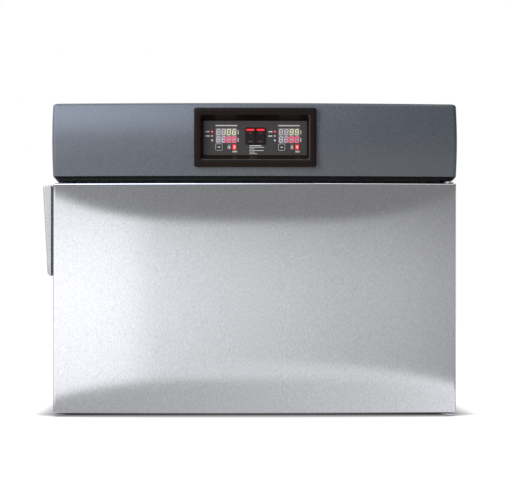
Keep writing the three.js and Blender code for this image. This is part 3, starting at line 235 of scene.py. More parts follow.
def light_room():
    """World: white to the camera and through glass, even to matt surfaces, and to mirror-like ones a
    level that depends on the ray's bearing and height in degrees."""
    world = bpy.data.worlds.new("studio")
    bpy.context.scene.world = world
    world.cycles.sampling_method = "NONE"
    room = Nodes(world)
    ray = room.add("SeparateXYZ", {}, {"Vector": room.add("TexCoord")["Generated"]})
    degree = 180 / np.pi
    bearing = degree * room.math("ARCTAN2", ray["X"], -1 * ray["Y"])
    height = degree * room.math("ARCSINE", ray["Z"])
    around = bearing / 360 + 0.5

    def levels(table):
        """The level of a table at the ray's bearing."""
        stops = [(angle / 360 + 0.5, level / LEVEL_TOP) for angle, level in table]
        return LEVEL_TOP * room.add("ValToRGB", {"stops": stops}, {"Fac": around})["Color"]

    def above(at, lift, aim, reach, power, blur=EDGE_BLUR):
        """1 above an edge at a height of at, plus lift times a power of the turn from aim over reach."""
        turn = room.math("ABSOLUTE", (bearing - aim) / reach)
        line = at + lift * room.math("MINIMUM", turn, EDGE_END) ** power
        return room.step(height, line - blur, line + blur)

    def cover(under, over, mask):
        """The level under, hidden by the level over where the mask is 1."""
        return under + (over - under) * mask

    full = levels(WALL_LEVELS)
    fade = cover(FADE_DOWN, FADE_UP - FADE_BRIGHT * full, room.math("GREATER_THAN", height, 0.0))
    wall = full * (1 - fade * room.math("MINIMUM", height * height, FADE_END**2))
    ceiling = CEILING_LEVEL + CEILING_SHARE * full
    band = room.math("MAXIMUM", wall, levels(BAND_LEVELS))
    zenith = room.step(height, *ZENITH)
    overhead = room.step(height, *OVERHEAD) * (1 - zenith)
    front = cover(wall, ceiling, above(*CEILING_EDGE, CEILING_BLUR))
    front = cover(band, front, above(*BAND_EDGE))
    front = cover(levels(TABLE_LEVELS), front, above(*TABLE_EDGE))
    front = cover(front, levels(OVERHEAD_LEVELS), overhead)
    front = cover(front, levels(ZENITH_LEVELS), zenith)
    front = cover(levels(NEAR_TABLE_LEVELS), front, room.step(height, *NEAR_TABLE))
    mirrored = cover(UNDERSIDE_LEVEL, front, room.step(height, *UNDERSIDE))
    path = room.add("LightPath")
    seen = room.math("MAXIMUM", path["Is Camera Ray"], path["Is Transmission Ray"])
    level = cover(cover(ROOM_LIGHT, 1.0, seen), mirrored, path["Is Glossy Ray"])
    tint = room.blend((1, 1, 1), OVERHEAD_BLUE, overhead * path["Is Glossy Ray"])
    sky = room.add("Background", {}, {"Color": tint, "Strength": level})["Background"]
    room.add("OutputWorld", {}, {"Surface": sky})


light_room()
key_lamp = bpy.data.objects.new("key_lamp", bpy.data.lights.new("key_lamp", "AREA"))
key_lamp.data.shape = "RECTANGLE"
key_lamp.data.size, key_lamp.data.size_y = KEY_SIZE
key_lamp.data.energy = KEY_POWER
key_lamp.location = KEY_PLACE
toward = np.subtract(KEY_AIM, KEY_PLACE)
key_lamp.rotation_euler = (
    np.arctan2(np.hypot(*toward[:2]), -toward[2]), 0, np.arctan2(-toward[0], toward[1])
)
key_lamp.visible_glossy = False
bpy.context.collection.objects.link(key_lamp)


# Floor: a smooth white table top, wide enough to run out of the picture on all sides. It keeps the
# cabinet's own soft shadow, partly cast by the lamp and partly painted shade from ambient occlusion,
# with a band of painted light a little way in under the door.
FLOOR_REACH = 12.0
FLOOR_WHITE = 0.25
FLOOR_GLOW = 1.15
FLOOR_BOUNCE = 0.40
MIRROR_REACH = 0.05
# Painted shadow: ambient occlusion over this reach, to this power, darkens the floor's glow and colour.
CONTACT_REACH = 0.085
CONTACT_POWER = 3.0
# Painted light: extra glow on the floor a little way in under the door, over this band of depth.
UNDER_DOOR_PAINTED_LIGHT = 0.5
UNDER_DOOR_LIGHT_BAND = (0.210, 0.33)
CREASE = 35
MERGE_WITHIN = 1e-6


def loft(rings, around=False):
    """Skin over closed rings, an array (rings, points, 3): a quad joins each neighbouring pair of points
    to the same pair on the next ring. Flat faces close the first and last ring, or these two are joined
    when the rings run around."""
    rings = np.asarray(rings, float)
    count, sides = rings.shape[:2]
    here = np.arange(count * sides).reshape(count, sides)
    beside = np.roll(here, -1, axis=1)
    quads = np.stack([here, beside, np.roll(beside, -1, axis=0), np.roll(here, -1, axis=0)], axis=-1)
    points = rings.reshape(-1, 3)
    if around:
        return points, quads.reshape(-1, 4).tolist()
    ends = [here[0, ::-1].tolist(), here[-1].tolist()]
    return points, quads[:-1].reshape(-1, 4).tolist() + ends


def new_object(name, shape, finish, crease=CREASE):
    """Mesh object of (points, faces): doubles merged, faces outward, smooth up to the crease angle."""
    points, faces = shape
    mesh = bpy.data.meshes.new(name)
    mesh.from_pydata(np.asarray(points).tolist(), [], faces)
    work = bmesh.new()
    work.from_mesh(mesh)
    bmesh.ops.remove_doubles(work, verts=work.verts, dist=MERGE_WITHIN)
    bmesh.ops.recalc_face_normals(work, faces=work.faces)
    if work.calc_volume(signed=True) < 0:
        bmesh.ops.reverse_faces(work, faces=work.faces)
    work.to_mesh(mesh)
    work.free()
    mesh.shade_smooth()
    mesh.set_sharp_from_angle(angle=np.radians(crease))
    mesh.materials.append(finish)
    made = bpy.data.objects.new(name, mesh)
    bpy.context.collection.objects.link(made)
    return made


def material(name):
    """The empty node tree of a new material."""
    return Nodes(bpy.data.materials.new(name))


def floor_finish():
    """White to the camera, with a painted shadow where the cabinet stands close over it and painted light
    a little way in under the door; a plain grey to the light that it throws back. Metal mirrors it only
    close by."""
    nodes = material("table_top")
    path = nodes.add("LightPath")
    glossy = path["Is Glossy Ray"]
    # Painted light a little way in under the door.
    lift = UNDER_DOOR_PAINTED_LIGHT * nodes.step(-1 * nodes.place()["Y"], *UNDER_DOOR_LIGHT_BAND) * (1 - glossy)
    # Painted shadow: glow and colour fall off where the cabinet closes over the floor.
    openness = nodes.add("AmbientOcclusion", {}, {"Distance": CONTACT_REACH})["AO"] ** CONTACT_POWER
    sockets = {
        "Base Color": nodes.blend((0, 0, 0), (FLOOR_WHITE,) * 3, openness),
        "Roughness": 1.0,
        "Specular IOR Level": 0.0,
        "Emission Color": nodes.blend((0, 0, 0), (FLOOR_GLOW,) * 3, openness + lift),
        "Emission Strength": 1.0,
    }
    shown = nodes.add("BsdfPrincipled", {}, sockets)["BSDF"]
    thrown = nodes.add("BsdfDiffuse", {}, {"Color": (FLOOR_BOUNCE,) * 3})["BSDF"]
    clear = nodes.add("BsdfTransparent")["BSDF"]
    seen = nodes.math("MAXIMUM", path["Is Camera Ray"], glossy)
    far = nodes.math("GREATER_THAN", path["Ray Length"], MIRROR_REACH)
    both = nodes.add("MixShader", {}, {"Fac": seen, 1: thrown, 2: shown})["Shader"]
    table = nodes.add("MixShader", {}, {"Fac": far * glossy, 1: both, 2: clear})["Shader"]
    nodes.add("OutputMaterial", {}, {"Surface": table})
    return nodes.owner


sheet = np.array([(-1, -1, 0), (1, -1, 0), (1, 1, 0), (-1, 1, 0)]) * FLOOR_REACH
floor = new_object("floor", (sheet, [[0, 1, 2, 3]]), floor_finish())


# Door skin: brushed stainless sheet, bowed in one arc from end to end, with its top and bottom edges
# folded back over a small radius. The inner panel sits in its open back, and a bush in each end.
STEEL = (0.708, 0.715, 0.752)
BOW_SWELL = 0.018
BOW_FLAT = 0.997
DOOR_BEND = 0.003
DOOR_CORNER = 0.004
SKIN_SHEET = 0.0015
PANEL_SEAT = 0.002
BUSH_SEAT_RADIUS = 0.00655
BUSH_SEAT_DEPTH = 0.0187
BEND_TURNS = np.radians([0, 10, 20, 30, 40, 50, 60, 60, 70, 80, 90, 90])
SEAT_FROM = 7
FLAT_BESIDE = 0.0008

half_door = (skin_high[0] - skin_low[0]) / 2
bow_radius = (half_door**2 + BOW_SWELL**2) / (2 * BOW_SWELL)


def brushed_steel(name, colour, roughness, scratch, fleck, spread):
    """Metal with a drawn grain: scratches and shorter flecks are noise with few waves per metre along it
    and many across. They tint the metal, change its roughness and stand up a few microns."""
    nodes = material(name)
    scratches = nodes.noise(scratch)
    flecks = nodes.step(nodes.noise(fleck, 1.0), 0.3, 0.7)
    clouds = nodes.noise((9.0, 9.0, 5.0))
    share = scratches * 0.25 + flecks * 0.65 + clouds * 0.1
    sockets = {
        "Base Color": nodes.toned(colour, 1 - spread, 1 + spread, share),
        "Roughness": roughness + 0.03 * (scratches - 0.5) + 0.02 * (clouds - 0.5),
        "Normal": nodes.bump(scratches, 0.000002),
        "Metallic": 1.0,
        "Anisotropic": 0.8,
    }
    return nodes.finished(sockets)


def joined(*parts):
    """Points from their coordinates, each an array, a row, a column or a number."""
    return np.stack(np.broadcast_arrays(*parts), axis=-1)


def quarter_round(radius, count):
    """How far a rounded edge draws in and stays back: radius times 1 - cos and 1 - sin of its turn."""
    turn = np.linspace(0, np.pi / 2, count)
    return radius * (1 - np.cos(turn)), radius * (1 - np.sin(turn))


def bowed_plan(middle, reach, radius, corner, centre, back, back_corner=0.0, rim=0.0, sink=0.0):
    """Closed plans (rows, points, 2) of a form with a bowed front: from the front's middle along an arc
    about (middle, centre), round the front corner, back along the side, round the back corner and a
    step of rim by sink into the back; then the same mirrored. Each size is a number or a column."""
    knee_x = reach - corner
    knee_y = centre - np.sqrt((radius - corner) ** 2 - knee_x**2)
    swing = np.arctan2(knee_x, centre - knee_y)
    bow = swing * np.r_[np.linspace(0, BOW_FLAT, 41), 1]
    bend = swing + (np.pi / 2 - swing) * np.linspace(0, 1, 8)[1:]
    arc_x, arc_y = radius * np.sin(bow), centre - radius * np.cos(bow)
    bend_x, bend_y = knee_x + corner * np.sin(bend), knee_y - corner * np.cos(bend)
    rear_in, rear_short = quarter_round(back_corner, 7)
    rim_x, rim_y = reach - back_corner - rim, back + 0 * reach
    x = np.hstack([arc_x, bend_x, reach - rear_in, rim_x, rim_x])
    y = np.hstack([arc_y, bend_y, rim_y - rear_short, rim_y, rim_y - sink])
    return joined(np.hstack([x, -x[:, :0:-1]]) + middle, np.hstack([y, y[:, :0:-1]]))


def stacked(plans, heights):
    """Rings (rows, points, 3): each plan at its own height."""
    return joined(plans[..., 0], plans[..., 1], np.reshape(heights, (-1, 1)))


def piece(name, body, finish, shape, stands_for=(), crease=CREASE):
    """A finished piece of the cabinet, riding on its body and standing for CAD nodes."""
    made = new_object(name, shape, finish, crease)
    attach(made, body)
    if stands_for:
        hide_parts(*stands_for)
    return made


def cut_away(made, cutters, crease=CREASE):
    """Takes closed (points, faces) bodies out of a piece."""
    tools = [new_object("cutter", shape, made.data.materials[0]) for shape in cutters]
    for tool in tools:
        cutting = made.modifiers.new("cut", "BOOLEAN")
        cutting.object = tool
        cutting.solver = "EXACT"
    ready = made.evaluated_get(bpy.context.evaluated_depsgraph_get())
    mesh = bpy.data.meshes.new_from_object(ready)
    made.modifiers.clear()
    made.data = mesh
    mesh.shade_smooth()
    mesh.set_sharp_from_angle(angle=np.radians(crease))
    for tool in tools:
        bpy.data.objects.remove(tool)


def turned(radii, along, centre, axis, sides):
    """Rings (rows, sides, 3) of a turned shape: its radius, one for a ring or one for each side of it,
    against its place along the axis."""
    turn = np.linspace(0, 2 * np.pi, sides, endpoint=False)
    radii = np.reshape(radii, (len(along), -1))
    across, upward = radii * np.cos(turn), radii * np.sin(turn)
    travel = np.reshape(along, (-1, 1))
    order = {"x": (travel, across, upward), "y": (across, travel, upward), "z": (across, upward, travel)}
    return joined(*order[axis]) + centre


def rod(radius, ends, centre, axis, sides=32):
    """A straight round bar: two equal circles, one at each end along the axis."""
    return loft(turned([radius, radius], ends, centre, axis, sides))


def both_bends(row):
    """A column of the lower bend's values, then the same in mirrored order for the upper bend."""
    return np.r_[row, row[::-1]][:, None]


door_steel = brushed_steel(
    "door_steel", STEEL, roughness=0.05, scratch=(1100, 1100, 70), fleck=(1300, 1300, 210), spread=0.18
)
skin_in = both_bends(DOOR_BEND * (1 - np.sin(BEND_TURNS)))
bend_rise = DOOR_BEND * (1 - np.cos(BEND_TURNS))
bend_rise[-1] += FLAT_BESIDE
skin_plans = bowed_plan(
    middle=door_middle,
    reach=half_door - skin_in,
    radius=bow_radius - skin_in,
    corner=DOOR_CORNER - skin_in,
    centre=skin_low[1] + bow_radius,
    back=skin_high[1],
    rim=SKIN_SHEET,
    sink=both_bends(np.where(np.arange(len(BEND_TURNS)) >= SEAT_FROM, PANEL_SEAT, 0.0)),
)
skin_rings = stacked(skin_plans, np.r_[skin_low[2] + bend_rise, skin_high[2] - bend_rise[::-1]])
door_skin = piece("door_skin_bowed", "door", door_steel, loft(skin_rings), ["door_skin"])
hinge_x, hinge_y, _ = corners_of("hinge_pin_top").mean(axis=0)
bush_seats = [
    rod(BUSH_SEAT_RADIUS, (edge - BUSH_SEAT_DEPTH, edge + BUSH_SEAT_DEPTH), (hinge_x, hinge_y, 0), "z")
    for edge in (skin_low[2], skin_high[2])
]
cut_away(door_skin, bush_seats)


# Inner door: a stainless panel, stiffened by a field pressed towards the chamber, closes the back of the
# skin over a slab of glass wool. The wool, here and round the chambers, keeps its CAD solids.
WOOL = (0.69, 0.62, 0.43)
PANEL_PRESS = 0.004
PANEL_FIELD_MARGIN = 0.0135
PANEL_FIELD_CORNER = 0.025
PANEL_EDGE_CORNER = 0.0005


def size_of(node):
    """Width and height of a CAD node, as seen from the front."""
    low, high = corners_of(node)
    return (high - low)[[0, 2]]


def middle_of(node):
    """Middle (x, z) of a CAD node, as seen from the front."""
    return corners_of(node).mean(axis=0)[[0, 2]]


def rounded_rectangle(width, height, corner, steps=6):
    """Closed outlines (rows, points, 2) about the origin: a quarter turn at each of four corners.
    Each size is a number or a column."""
    quarter = np.linspace(0, np.pi / 2, steps + 1)
    turn = (np.arange(4)[:, None] * np.pi / 2 + quarter).ravel()
    right = np.repeat([1, -1, -1, 1], steps + 1)
    upper = np.repeat([1, 1, -1, -1], steps + 1)
    x = right * (np.asarray(width) / 2 - corner) + corner * np.cos(turn)
    z = upper * (np.asarray(height) / 2 - corner) + corner * np.sin(turn)
    return joined(x, z)


def facing(outlines, depth, middle):
    """Rings (rows, points, 3) of upright outlines about middle (x, z), each at its own depth y."""
    return joined(outlines[..., 0] + middle[0], np.reshape(depth, (-1, 1)), outlines[..., 1] + middle[1])


def pressed_panel(node, within, margin, corner, press):
    """A sheet with a field pressed inside the margin of a CAD node: from the field's flat on the near
    face down the draw, whose height is the cubic 3t^2 - 2t^3 of the way t up it, over the margin, round
    the edge and back on the far face. A narrow flat row beside the draw keeps the flats flat."""
    draw = np.r_[1, np.linspace(1, 0, 11), 0]
    inset = press * draw[:, None]
    inset[[0, -1]] += [[FLAT_BESIDE], [-FLAT_BESIDE]]
    rise = press * (3 * draw**2 - 2 * draw**3)
    far_y = corners_of(node)[1, 1] - press
    near_y = far_y - SKIN_SHEET
    width, height = size_of(within) - 2 * margin
    field = rounded_rectangle(width - 2 * inset, height - 2 * inset, corner - inset, steps=10)
    edge = rounded_rectangle(*size_of(node), PANEL_EDGE_CORNER, steps=10)
    near = facing(field, near_y + rise, middle_of(within))
    rim = facing(np.stack([edge, edge]), [near_y, far_y], middle_of(node))
    far = facing(field[::-1], far_y + rise[::-1], middle_of(within))
    return loft(np.concatenate([near, rim, far]))


def dress(finish, *nodes):
    """Gives CAD nodes a finish."""
    for node in nodes:
        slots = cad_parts[node].data.materials
        slots.clear()
        slots.append(finish)


def glass_wool(name, colour):
    """Matted fibre: two scales of noise for lumps and strands."""
    nodes = material(name)
    strands = nodes.noise((900.0, 160.0, 900.0), 3.0)
    tangle = nodes.noise(70.0, 4.0) * 0.6 + strands * 0.4
    sockets = {
        "Base Color": nodes.toned(colour, 0.6, 1, tangle),
        "Roughness": 0.85 + 0.1 * strands,
        "Normal": nodes.bump(tangle, 0.0012),
    }
    return nodes.finished(sockets)


satin_steel = brushed_steel(
    "satin_steel", STEEL, roughness=0.25, scratch=(420, 420, 12), fleck=(900, 900, 30), spread=0.07
)
wool = glass_wool("glass_wool", WOOL)
inner_panel = pressed_panel(
    "door_inner_panel", "chamber_liner", PANEL_FIELD_MARGIN, PANEL_FIELD_CORNER, PANEL_PRESS
)
piece("door_inner_panel_pressed", "door", satin_steel, inner_panel, ["door_inner_panel"])
dress(wool, "door_core", "divider_core", "insulation_wrap", "insulation_rear")


# Gasket: a moulded grey silicone ring with a hollow bulb on a flat base, bonded to the inner panel
# round the chamber's mouth.
GASKET_GREY = (0.07, 0.07, 0.072)
GASKET_WIDTH = 0.015
GASKET_BASE = 0.0025
GASKET_BULB = 0.0055
GASKET_CORNER = 0.012


def soft_rubber(name, colour, roughness):
    """Moulded rubber: a faint cloudy bloom over a fine matt skin."""
    nodes = material(name)
    bloom = nodes.noise(45.0, 3.0)
    sockets = {
        "Base Color": nodes.blend(colour, np.multiply(colour, 1.5) + 0.01, bloom * 0.7),
        "Roughness": roughness + 0.12 * (bloom - 0.5),
        "Normal": nodes.bump(nodes.noise(1800.0, 1.0), 0.00003),
        "Specular IOR Level": 0.35,
    }
    return nodes.finished(sockets)


seal_low, seal_high = corners_of("door_gasket")
seal_width, seal_height = size_of("door_gasket")
bulb_turn = np.linspace(np.pi, 0, 13)
bulb_rise = seal_high[1] - seal_low[1] - GASKET_BASE
bulb_out = GASKET_WIDTH / 2 + GASKET_BULB * np.cos(bulb_turn)
seal_out = np.r_[0, 0, bulb_out, GASKET_WIDTH, GASKET_WIDTH][:, None]
seal_y = np.r_[0, GASKET_BASE, GASKET_BASE + bulb_rise * np.sin(bulb_turn), GASKET_BASE, 0]
seal_grow = 2 * (seal_out - GASKET_WIDTH)
seal_sizes = (seal_width + seal_grow, seal_height + seal_grow, GASKET_CORNER + seal_out)
seal_outlines = rounded_rectangle(*seal_sizes, steps=10)
seal_rings = facing(seal_outlines, seal_low[1] + seal_y, middle_of("door_gasket"))
silicone = soft_rubber("grey_silicone", GASKET_GREY, roughness=0.55)
piece("door_seal", "door", silicone, loft(seal_rings, True), ["door_gasket"])


# Pull: a cast bar along the upper left edge, tapered from its round shoulder to its foot and scooped
# behind for the fingers. Its shot-blasted satin skin shows a fine grain. A strip packs it off; its dark
# grey is painted shade for the gap between pull and door.
CAST_GREY = (0.59, 0.565, 0.525)
PULL_NOSE = 0.0032
PULL_WEB = 0.009
PULL_FOOT_REACH = 0.0065
PULL_TOP_REACH = 0.0155
PULL_SHOULDER = 0.0055
PULL_CHAMFER = 0.0045
PULL_EDGE = 0.0006
PULL_LAND = 0.12
BLACK = (0.012, 0.0115, 0.0115)
# Painted shade: the packing strip's dark grey stands for the shadowed gap between pull and door.
STRIP_SHADE_GREY = (0.062, 0.063, 0.066)
SHARP_FROM = 38


def blasted_cast(name, colour):
    """Cast metal blasted to a fine even grain."""
    nodes = material(name)
    grain = nodes.noise(1500.0)
    sockets = {
        "Base Color": nodes.toned(colour, 0.9, 1, grain * 0.7 + nodes.noise(30.0) * 0.3),
        "Roughness": 0.44 + 0.12 * (grain - 0.5),
        "Normal": nodes.bump(grain, 0.000008),
        "Metallic": 1.0,
    }
    return nodes.finished(sockets)


def moulded_skin(nodes, colour, roughness, pebble, depth):
    """Sockets of a moulding: a pebbled skin, depth high, and a slow change of tone and gloss."""
    skin = nodes.noise(pebble)
    clouds = nodes.noise(14.0, 3.0)
    return {
        "Base Color": nodes.toned(colour, 0.86, 1.14, skin * 0.5 + clouds * 0.5),
        "Roughness": roughness + 0.10 * (skin - 0.5) + 0.06 * (clouds - 0.5),
        "Normal": nodes.bump(skin, depth),
    }


def moulded_plastic(name, colour, roughness, pebble, depth, shine=0.5):
    """Moulded or painted plastic of one colour."""
    nodes = material(name)
    sockets = moulded_skin(nodes, colour, roughness, pebble, depth)
    return nodes.finished({**sockets, "Specular IOR Level": shine})


def soften(made, width):
    """Rounds a piece's sharp edges."""
    edge = made.modifiers.new("edge", "BEVEL")
    edge.width = width
    edge.segments = 2
    edge.limit_method = "ANGLE"
    edge.angle_limit = np.radians(SHARP_FROM)


pull_low, pull_high = corners_of("door_pull")
shoulder_in, shoulder_short = quarter_round(PULL_SHOULDER, 10)
pull_z = np.r_[
    pull_low[2],
    np.linspace(pull_low[2] + PULL_CHAMFER, pull_high[2] - PULL_SHOULDER, 8)[:-1],
    pull_high[2] - shoulder_short,
]
pull_along = (pull_z - pull_low[2]) / (pull_high[2] - pull_low[2])
pull_reach = PULL_FOOT_REACH + (PULL_TOP_REACH - PULL_FOOT_REACH) * pull_along
pull_reach[0] -= PULL_CHAMFER
pull_reach[-len(shoulder_in):] -= shoulder_in
nose_turn = np.linspace(np.pi, 1.5 * np.pi, 8)
scoop_turn = np.linspace(0, -np.pi / 2, 14)
scoop_depth = pull_high[1] - pull_low[1] - PULL_WEB
section_x = np.r_[
    PULL_NOSE * (1 + np.cos(nose_turn)) / PULL_TOP_REACH - 1,
    0,
    0,
    (1 - PULL_LAND) * (np.cos(scoop_turn) - 1) - PULL_LAND,
]
section_y = np.r_[
    pull_low[1] + PULL_NOSE * (1 + np.sin(nose_turn)),
    pull_low[1],
    pull_high[1],
    pull_high[1] + scoop_depth * np.sin(scoop_turn),
]
pull_x = pull_high[0] + np.outer(pull_reach, section_x)
pull_rings = joined(pull_x, section_y, pull_z[:, None])
cast = blasted_cast("blasted_cast", CAST_GREY)
black_plastic = moulded_plastic("black_plastic", BLACK, roughness=0.42, pebble=1300.0, depth=0.00003)
strip_shade_grey = moulded_plastic(
    "strip_shade_grey", STRIP_SHADE_GREY, roughness=0.6, pebble=1300.0, depth=0.00001, shine=0.3
)
door_pull = piece("door_pull_cast", "door", cast, loft(pull_rings), ["door_pull"])
soften(door_pull, PULL_EDGE)
dress(strip_shade_grey, "pull_base")


# Latch and hinges: a magnet bar in the door meets a steel strike on the frame. Folded stainless leaves,
# each held to the frame by two button-head screws, carry plated pins, which turn in white nylon bushes
# let into the door's ends.
NYLON = (0.79, 0.77, 0.70)
CHROME = (0.80, 0.81, 0.82)
SCREW_RADIUS = 0.0032
SCREW_RISE = 0.0014
SCREW_DOME = np.radians(70)
SCREW_SOCKET = 0.0011
SOCKET_DEPTH = 0.0009
SCREW_SIDES = 24
HINGE_BLADE = 0.0135
HINGE_SHEET = 0.0025
HINGE_SCREWS = (0.012, 0.040)


def bright_chrome(name, colour):
    """Plated wire: mirror bright, with a slight haze."""
    nodes = material(name)
    haze = nodes.noise(60.0, 3.0)
    sockets = {
        "Base Color": nodes.toned(colour, 0.9, 1, haze),
        "Roughness": 0.08 + 0.12 * haze,
        "Metallic": 1.0,
    }
    return nodes.finished(sockets)


def together(shapes):
    """One (points, faces) shape of several."""
    starts = np.cumsum([0] + [len(points) for points, _ in shapes])
    faces = [[c + start for c in face] for start, (_, made) in zip(starts, shapes) for face in made]
    return np.concatenate([points for points, _ in shapes]), faces


def button_screw(place, out, radius=SCREW_RADIUS, rise=SCREW_RISE, depth=SOCKET_DEPTH):
    """A domed screw head that looks along y towards out, 1 or -1: circles on a quarter ellipse, then the
    hexagon of its socket, flat / cos(angle from the flat's middle), carried down into the head."""
    turn = np.linspace(0, 2 * np.pi, SCREW_SIDES, endpoint=False)
    dome = np.linspace(0, SCREW_DOME, 6)
    circles = np.outer(radius * np.cos(dome), np.ones(SCREW_SIDES))
    hexagon = SCREW_SOCKET / np.cos(turn % (np.pi / 3) - np.pi / 6)
    along = np.r_[rise * np.sin(dome) / np.sin(SCREW_DOME), rise, rise - depth]
    return loft(turned(np.vstack([circles, hexagon, hexagon]), out * along, place, "y", SCREW_SIDES))


chrome = bright_chrome("bright_chrome", CHROME)
nylon = moulded_plastic("white_nylon", NYLON, roughness=0.45, pebble=900.0, depth=0.00002)
dress(black_plastic, "latch_magnet")
dress(satin_steel, "strike_plate", "hinge_bracket_top", "hinge_bracket_bottom")
dress(chrome, "hinge_pin_top", "hinge_pin_bottom")
dress(nylon, "hinge_bush_top", "hinge_bush_bottom")
hinge_screws = []
for end, up in (("top", 1), ("bottom", -1)):
    leaf_low, leaf_high = corners_of(f"hinge_bracket_{end}")
    blade_end = leaf_low[2] if up > 0 else leaf_high[2]
    blade_x, blade_y = leaf_low[0] + HINGE_BLADE / 2, leaf_high[1] - HINGE_SHEET
    for along in HINGE_SCREWS:
        hinge_screws.append(button_screw((blade_x, blade_y, blade_end + up * along), -1))
piece("hinge_screws", "cabinet", chrome, together(hinge_screws))


# Case: one stainless sheet folded round floor, sides and top, a welded face frame, and a back panel
# with a pressed field, held by screws all round its margin.
BACK_PRESS = 0.003
BACK_FIELD_MARGIN = 0.045
BACK_FIELD_CORNER = 0.030
SCREW_INSET = 0.013

case_steel = brushed_steel(
    "case_steel", STEEL, roughness=0.2, scratch=(520, 520, 12), fleck=(900, 900, 30), spread=0.08
)
dress(case_steel, "case_wrap")
dress(satin_steel, "face_frame")
back_panel = pressed_panel("back_panel", "back_panel", BACK_FIELD_MARGIN, BACK_FIELD_CORNER, BACK_PRESS)
piece("back_panel_pressed", "cabinet", satin_steel, back_panel, ["back_panel"])
back_low, back_high = corners_of("back_panel")
screw_y = back_high[1] - BACK_PRESS
screw_x = np.linspace(back_low[0] + SCREW_INSET, back_high[0] - SCREW_INSET, 5)
screw_z = np.linspace(back_low[2] + SCREW_INSET, back_high[2] - SCREW_INSET, 4)
screw_places = [(x, screw_y, z) for x in screw_x for z in screw_z[[0, -1]]]
screw_places += [(x, screw_y, z) for x in screw_x[[0, -1]] for z in screw_z[1:-1]]
back_screws = together([button_screw(place, 1) for place in screw_places])
piece("back_screws", "cabinet", chrome, back_screws)


# Chambers: a coved stainless liner wrapped in silicone heater mats, with folded racks that carry an
# insulated divider and two welded wire shelves. Air probes stand in from the back.
MAT_RED = (0.43, 0.14, 0.042)
SHELF_ROD = 0.003
SHELF_WIRE = 0.0016
SHELF_BRACE = 0.002
SHELF_LIFT = 0.0025
SHELF_CORNER = 0.018
SHELF_PITCH = 0.046
WIRE_SIDES = 10


def wire_shelf(node):
    """A rim of round rod bent round a rounded rectangle, braces across it, and a row of wires on top."""
    low, high = corners_of(node)
    middle = (low + high) / 2
    rim_z = low[2] + SHELF_ROD
    turn = np.linspace(0, 2 * np.pi, 12, endpoint=False)[:, None]
    drawn_in = SHELF_ROD * (1 - np.cos(turn))
    width, depth = (high - low)[:2]
    plan = rounded_rectangle(width - 2 * drawn_in, depth - 2 * drawn_in, SHELF_CORNER - drawn_in, steps=8)
    rim = loft(stacked(plan + middle[:2], rim_z + SHELF_ROD * np.sin(turn)), True)
    span = width - 2 * SHELF_CORNER
    gaps = int(round(span / SHELF_PITCH))
    wire_ends = (low[1] + SHELF_ROD, high[1] - SHELF_ROD)
    brace_ends = (low[0] + SHELF_ROD, high[0] - SHELF_ROD)
    wires = [
        rod(SHELF_WIRE, wire_ends, (x, 0, rim_z + SHELF_LIFT), "y", WIRE_SIDES)
        for x in middle[0] + span * np.linspace(-0.5, 0.5, gaps + 1)
    ]
    braces = [
        rod(SHELF_BRACE, brace_ends, (0, y, rim_z), "x", WIRE_SIDES)
        for y in np.linspace(low[1], high[1], 4)[1:-1]
    ]
    return together([rim, *wires, *braces])


liner_steel = brushed_steel(
    "liner_steel", STEEL, roughness=0.3, scratch=(480, 14, 480), fleck=(900, 40, 900), spread=0.07
)
heater_mat = soft_rubber("heater_mat", MAT_RED, roughness=0.6)
for zone in ("upper", "lower"):
    shelf = f"wire_shelf_{zone}"
    piece(f"{shelf}_welded", "cabinet", chrome, wire_shelf(shelf), [shelf])
dress(liner_steel, "chamber_liner", "side_rack_left", "side_rack_right", "divider_pan", "divider_floor")
dress(satin_steel, "air_probe_upper", "air_probe_lower")
dress(heater_mat, "heater_mat_upper", "heater_mat_lower")
dress(black_plastic, "limit_thermostat_upper", "limit_thermostat_lower")


# Feet: four turned black rubber feet, tapered to the floor. Each is hollow below, where the screw goes
# up through it into the case.
FOOT_BLACK = (0.012, 0.012, 0.012)
FOOT_RADII = np.array([0.006, 0.006, 0.0132, 0.014, 0.0168, 0.017, 0.0162])
FOOT_RISES = np.array([0.005, 0.0, 0.0, 0.0008, 0.0108, 0.0113, 0.012])

rubber = soft_rubber("black_rubber", FOOT_BLACK, roughness=0.65)
for foot in ("foot_front_left", "foot_front_right", "foot_rear_left", "foot_rear_right"):
    foot_low, foot_high = corners_of(foot)
    foot_middle = (*((foot_low + foot_high) / 2)[:2], foot_low[2])
    foot_shape = loft(turned(FOOT_RADII, FOOT_RISES, foot_middle, "z", sides=40))
    piece(f"{foot}_turned", "cabinet", rubber, foot_shape, [foot])


# Head cover: a charcoal moulded shell over the cabinet's top. Its face follows the door's bow, is crowned
# in height and ends in a chamfer above the door, coloured near black as painted shade; the top edge is
# rounded. Screws along its back hold it to a galvanised tray, which carries the relays and terminals.
ZINC = (0.58, 0.60, 0.61)
RELAY_GREY = (0.27, 0.28, 0.285)
CHARCOAL = (0.084, 0.093, 0.111)
# Painted shade: near black on the chamfer that faces down under the face.
CHAMFER_SHADE_BLACK = (0.0025, 0.0022, 0.0020)
CHAMFER_SHADE_BLUR = 0.0006
HEAD_WALL = 0.003
HEAD_PROUD = 0.002
HEAD_CHAMFER = (0.009, 0.0107)
HEAD_CROWN = (0.0012, 0.006)
HEAD_ROUND = 0.006
HEAD_CREASE = 26
TOP_MARGIN = 0.010
HEAD_CORNER = 0.008
HEAD_BACK_CORNER = 0.005
PANEL_HOLE = (0.2096, 0.0891, 0.0078)
INLET_HOLE = (0.0286, 0.0206, 0.001)
HAIR = 1e-5
VENT_SLOT = (0.005, 0.060, 0.0025 - HAIR)
VENT_PITCH = 0.011
VENT_COUNT = 9
VENT_INSET = 0.218
VENT_RISE = 0.057
HINGE_RELIEF = (0.017, 0.0042)
RELIEF_GAP = 0.0023
CUT_OVER = 0.01
CUT_BELOW = 0.001
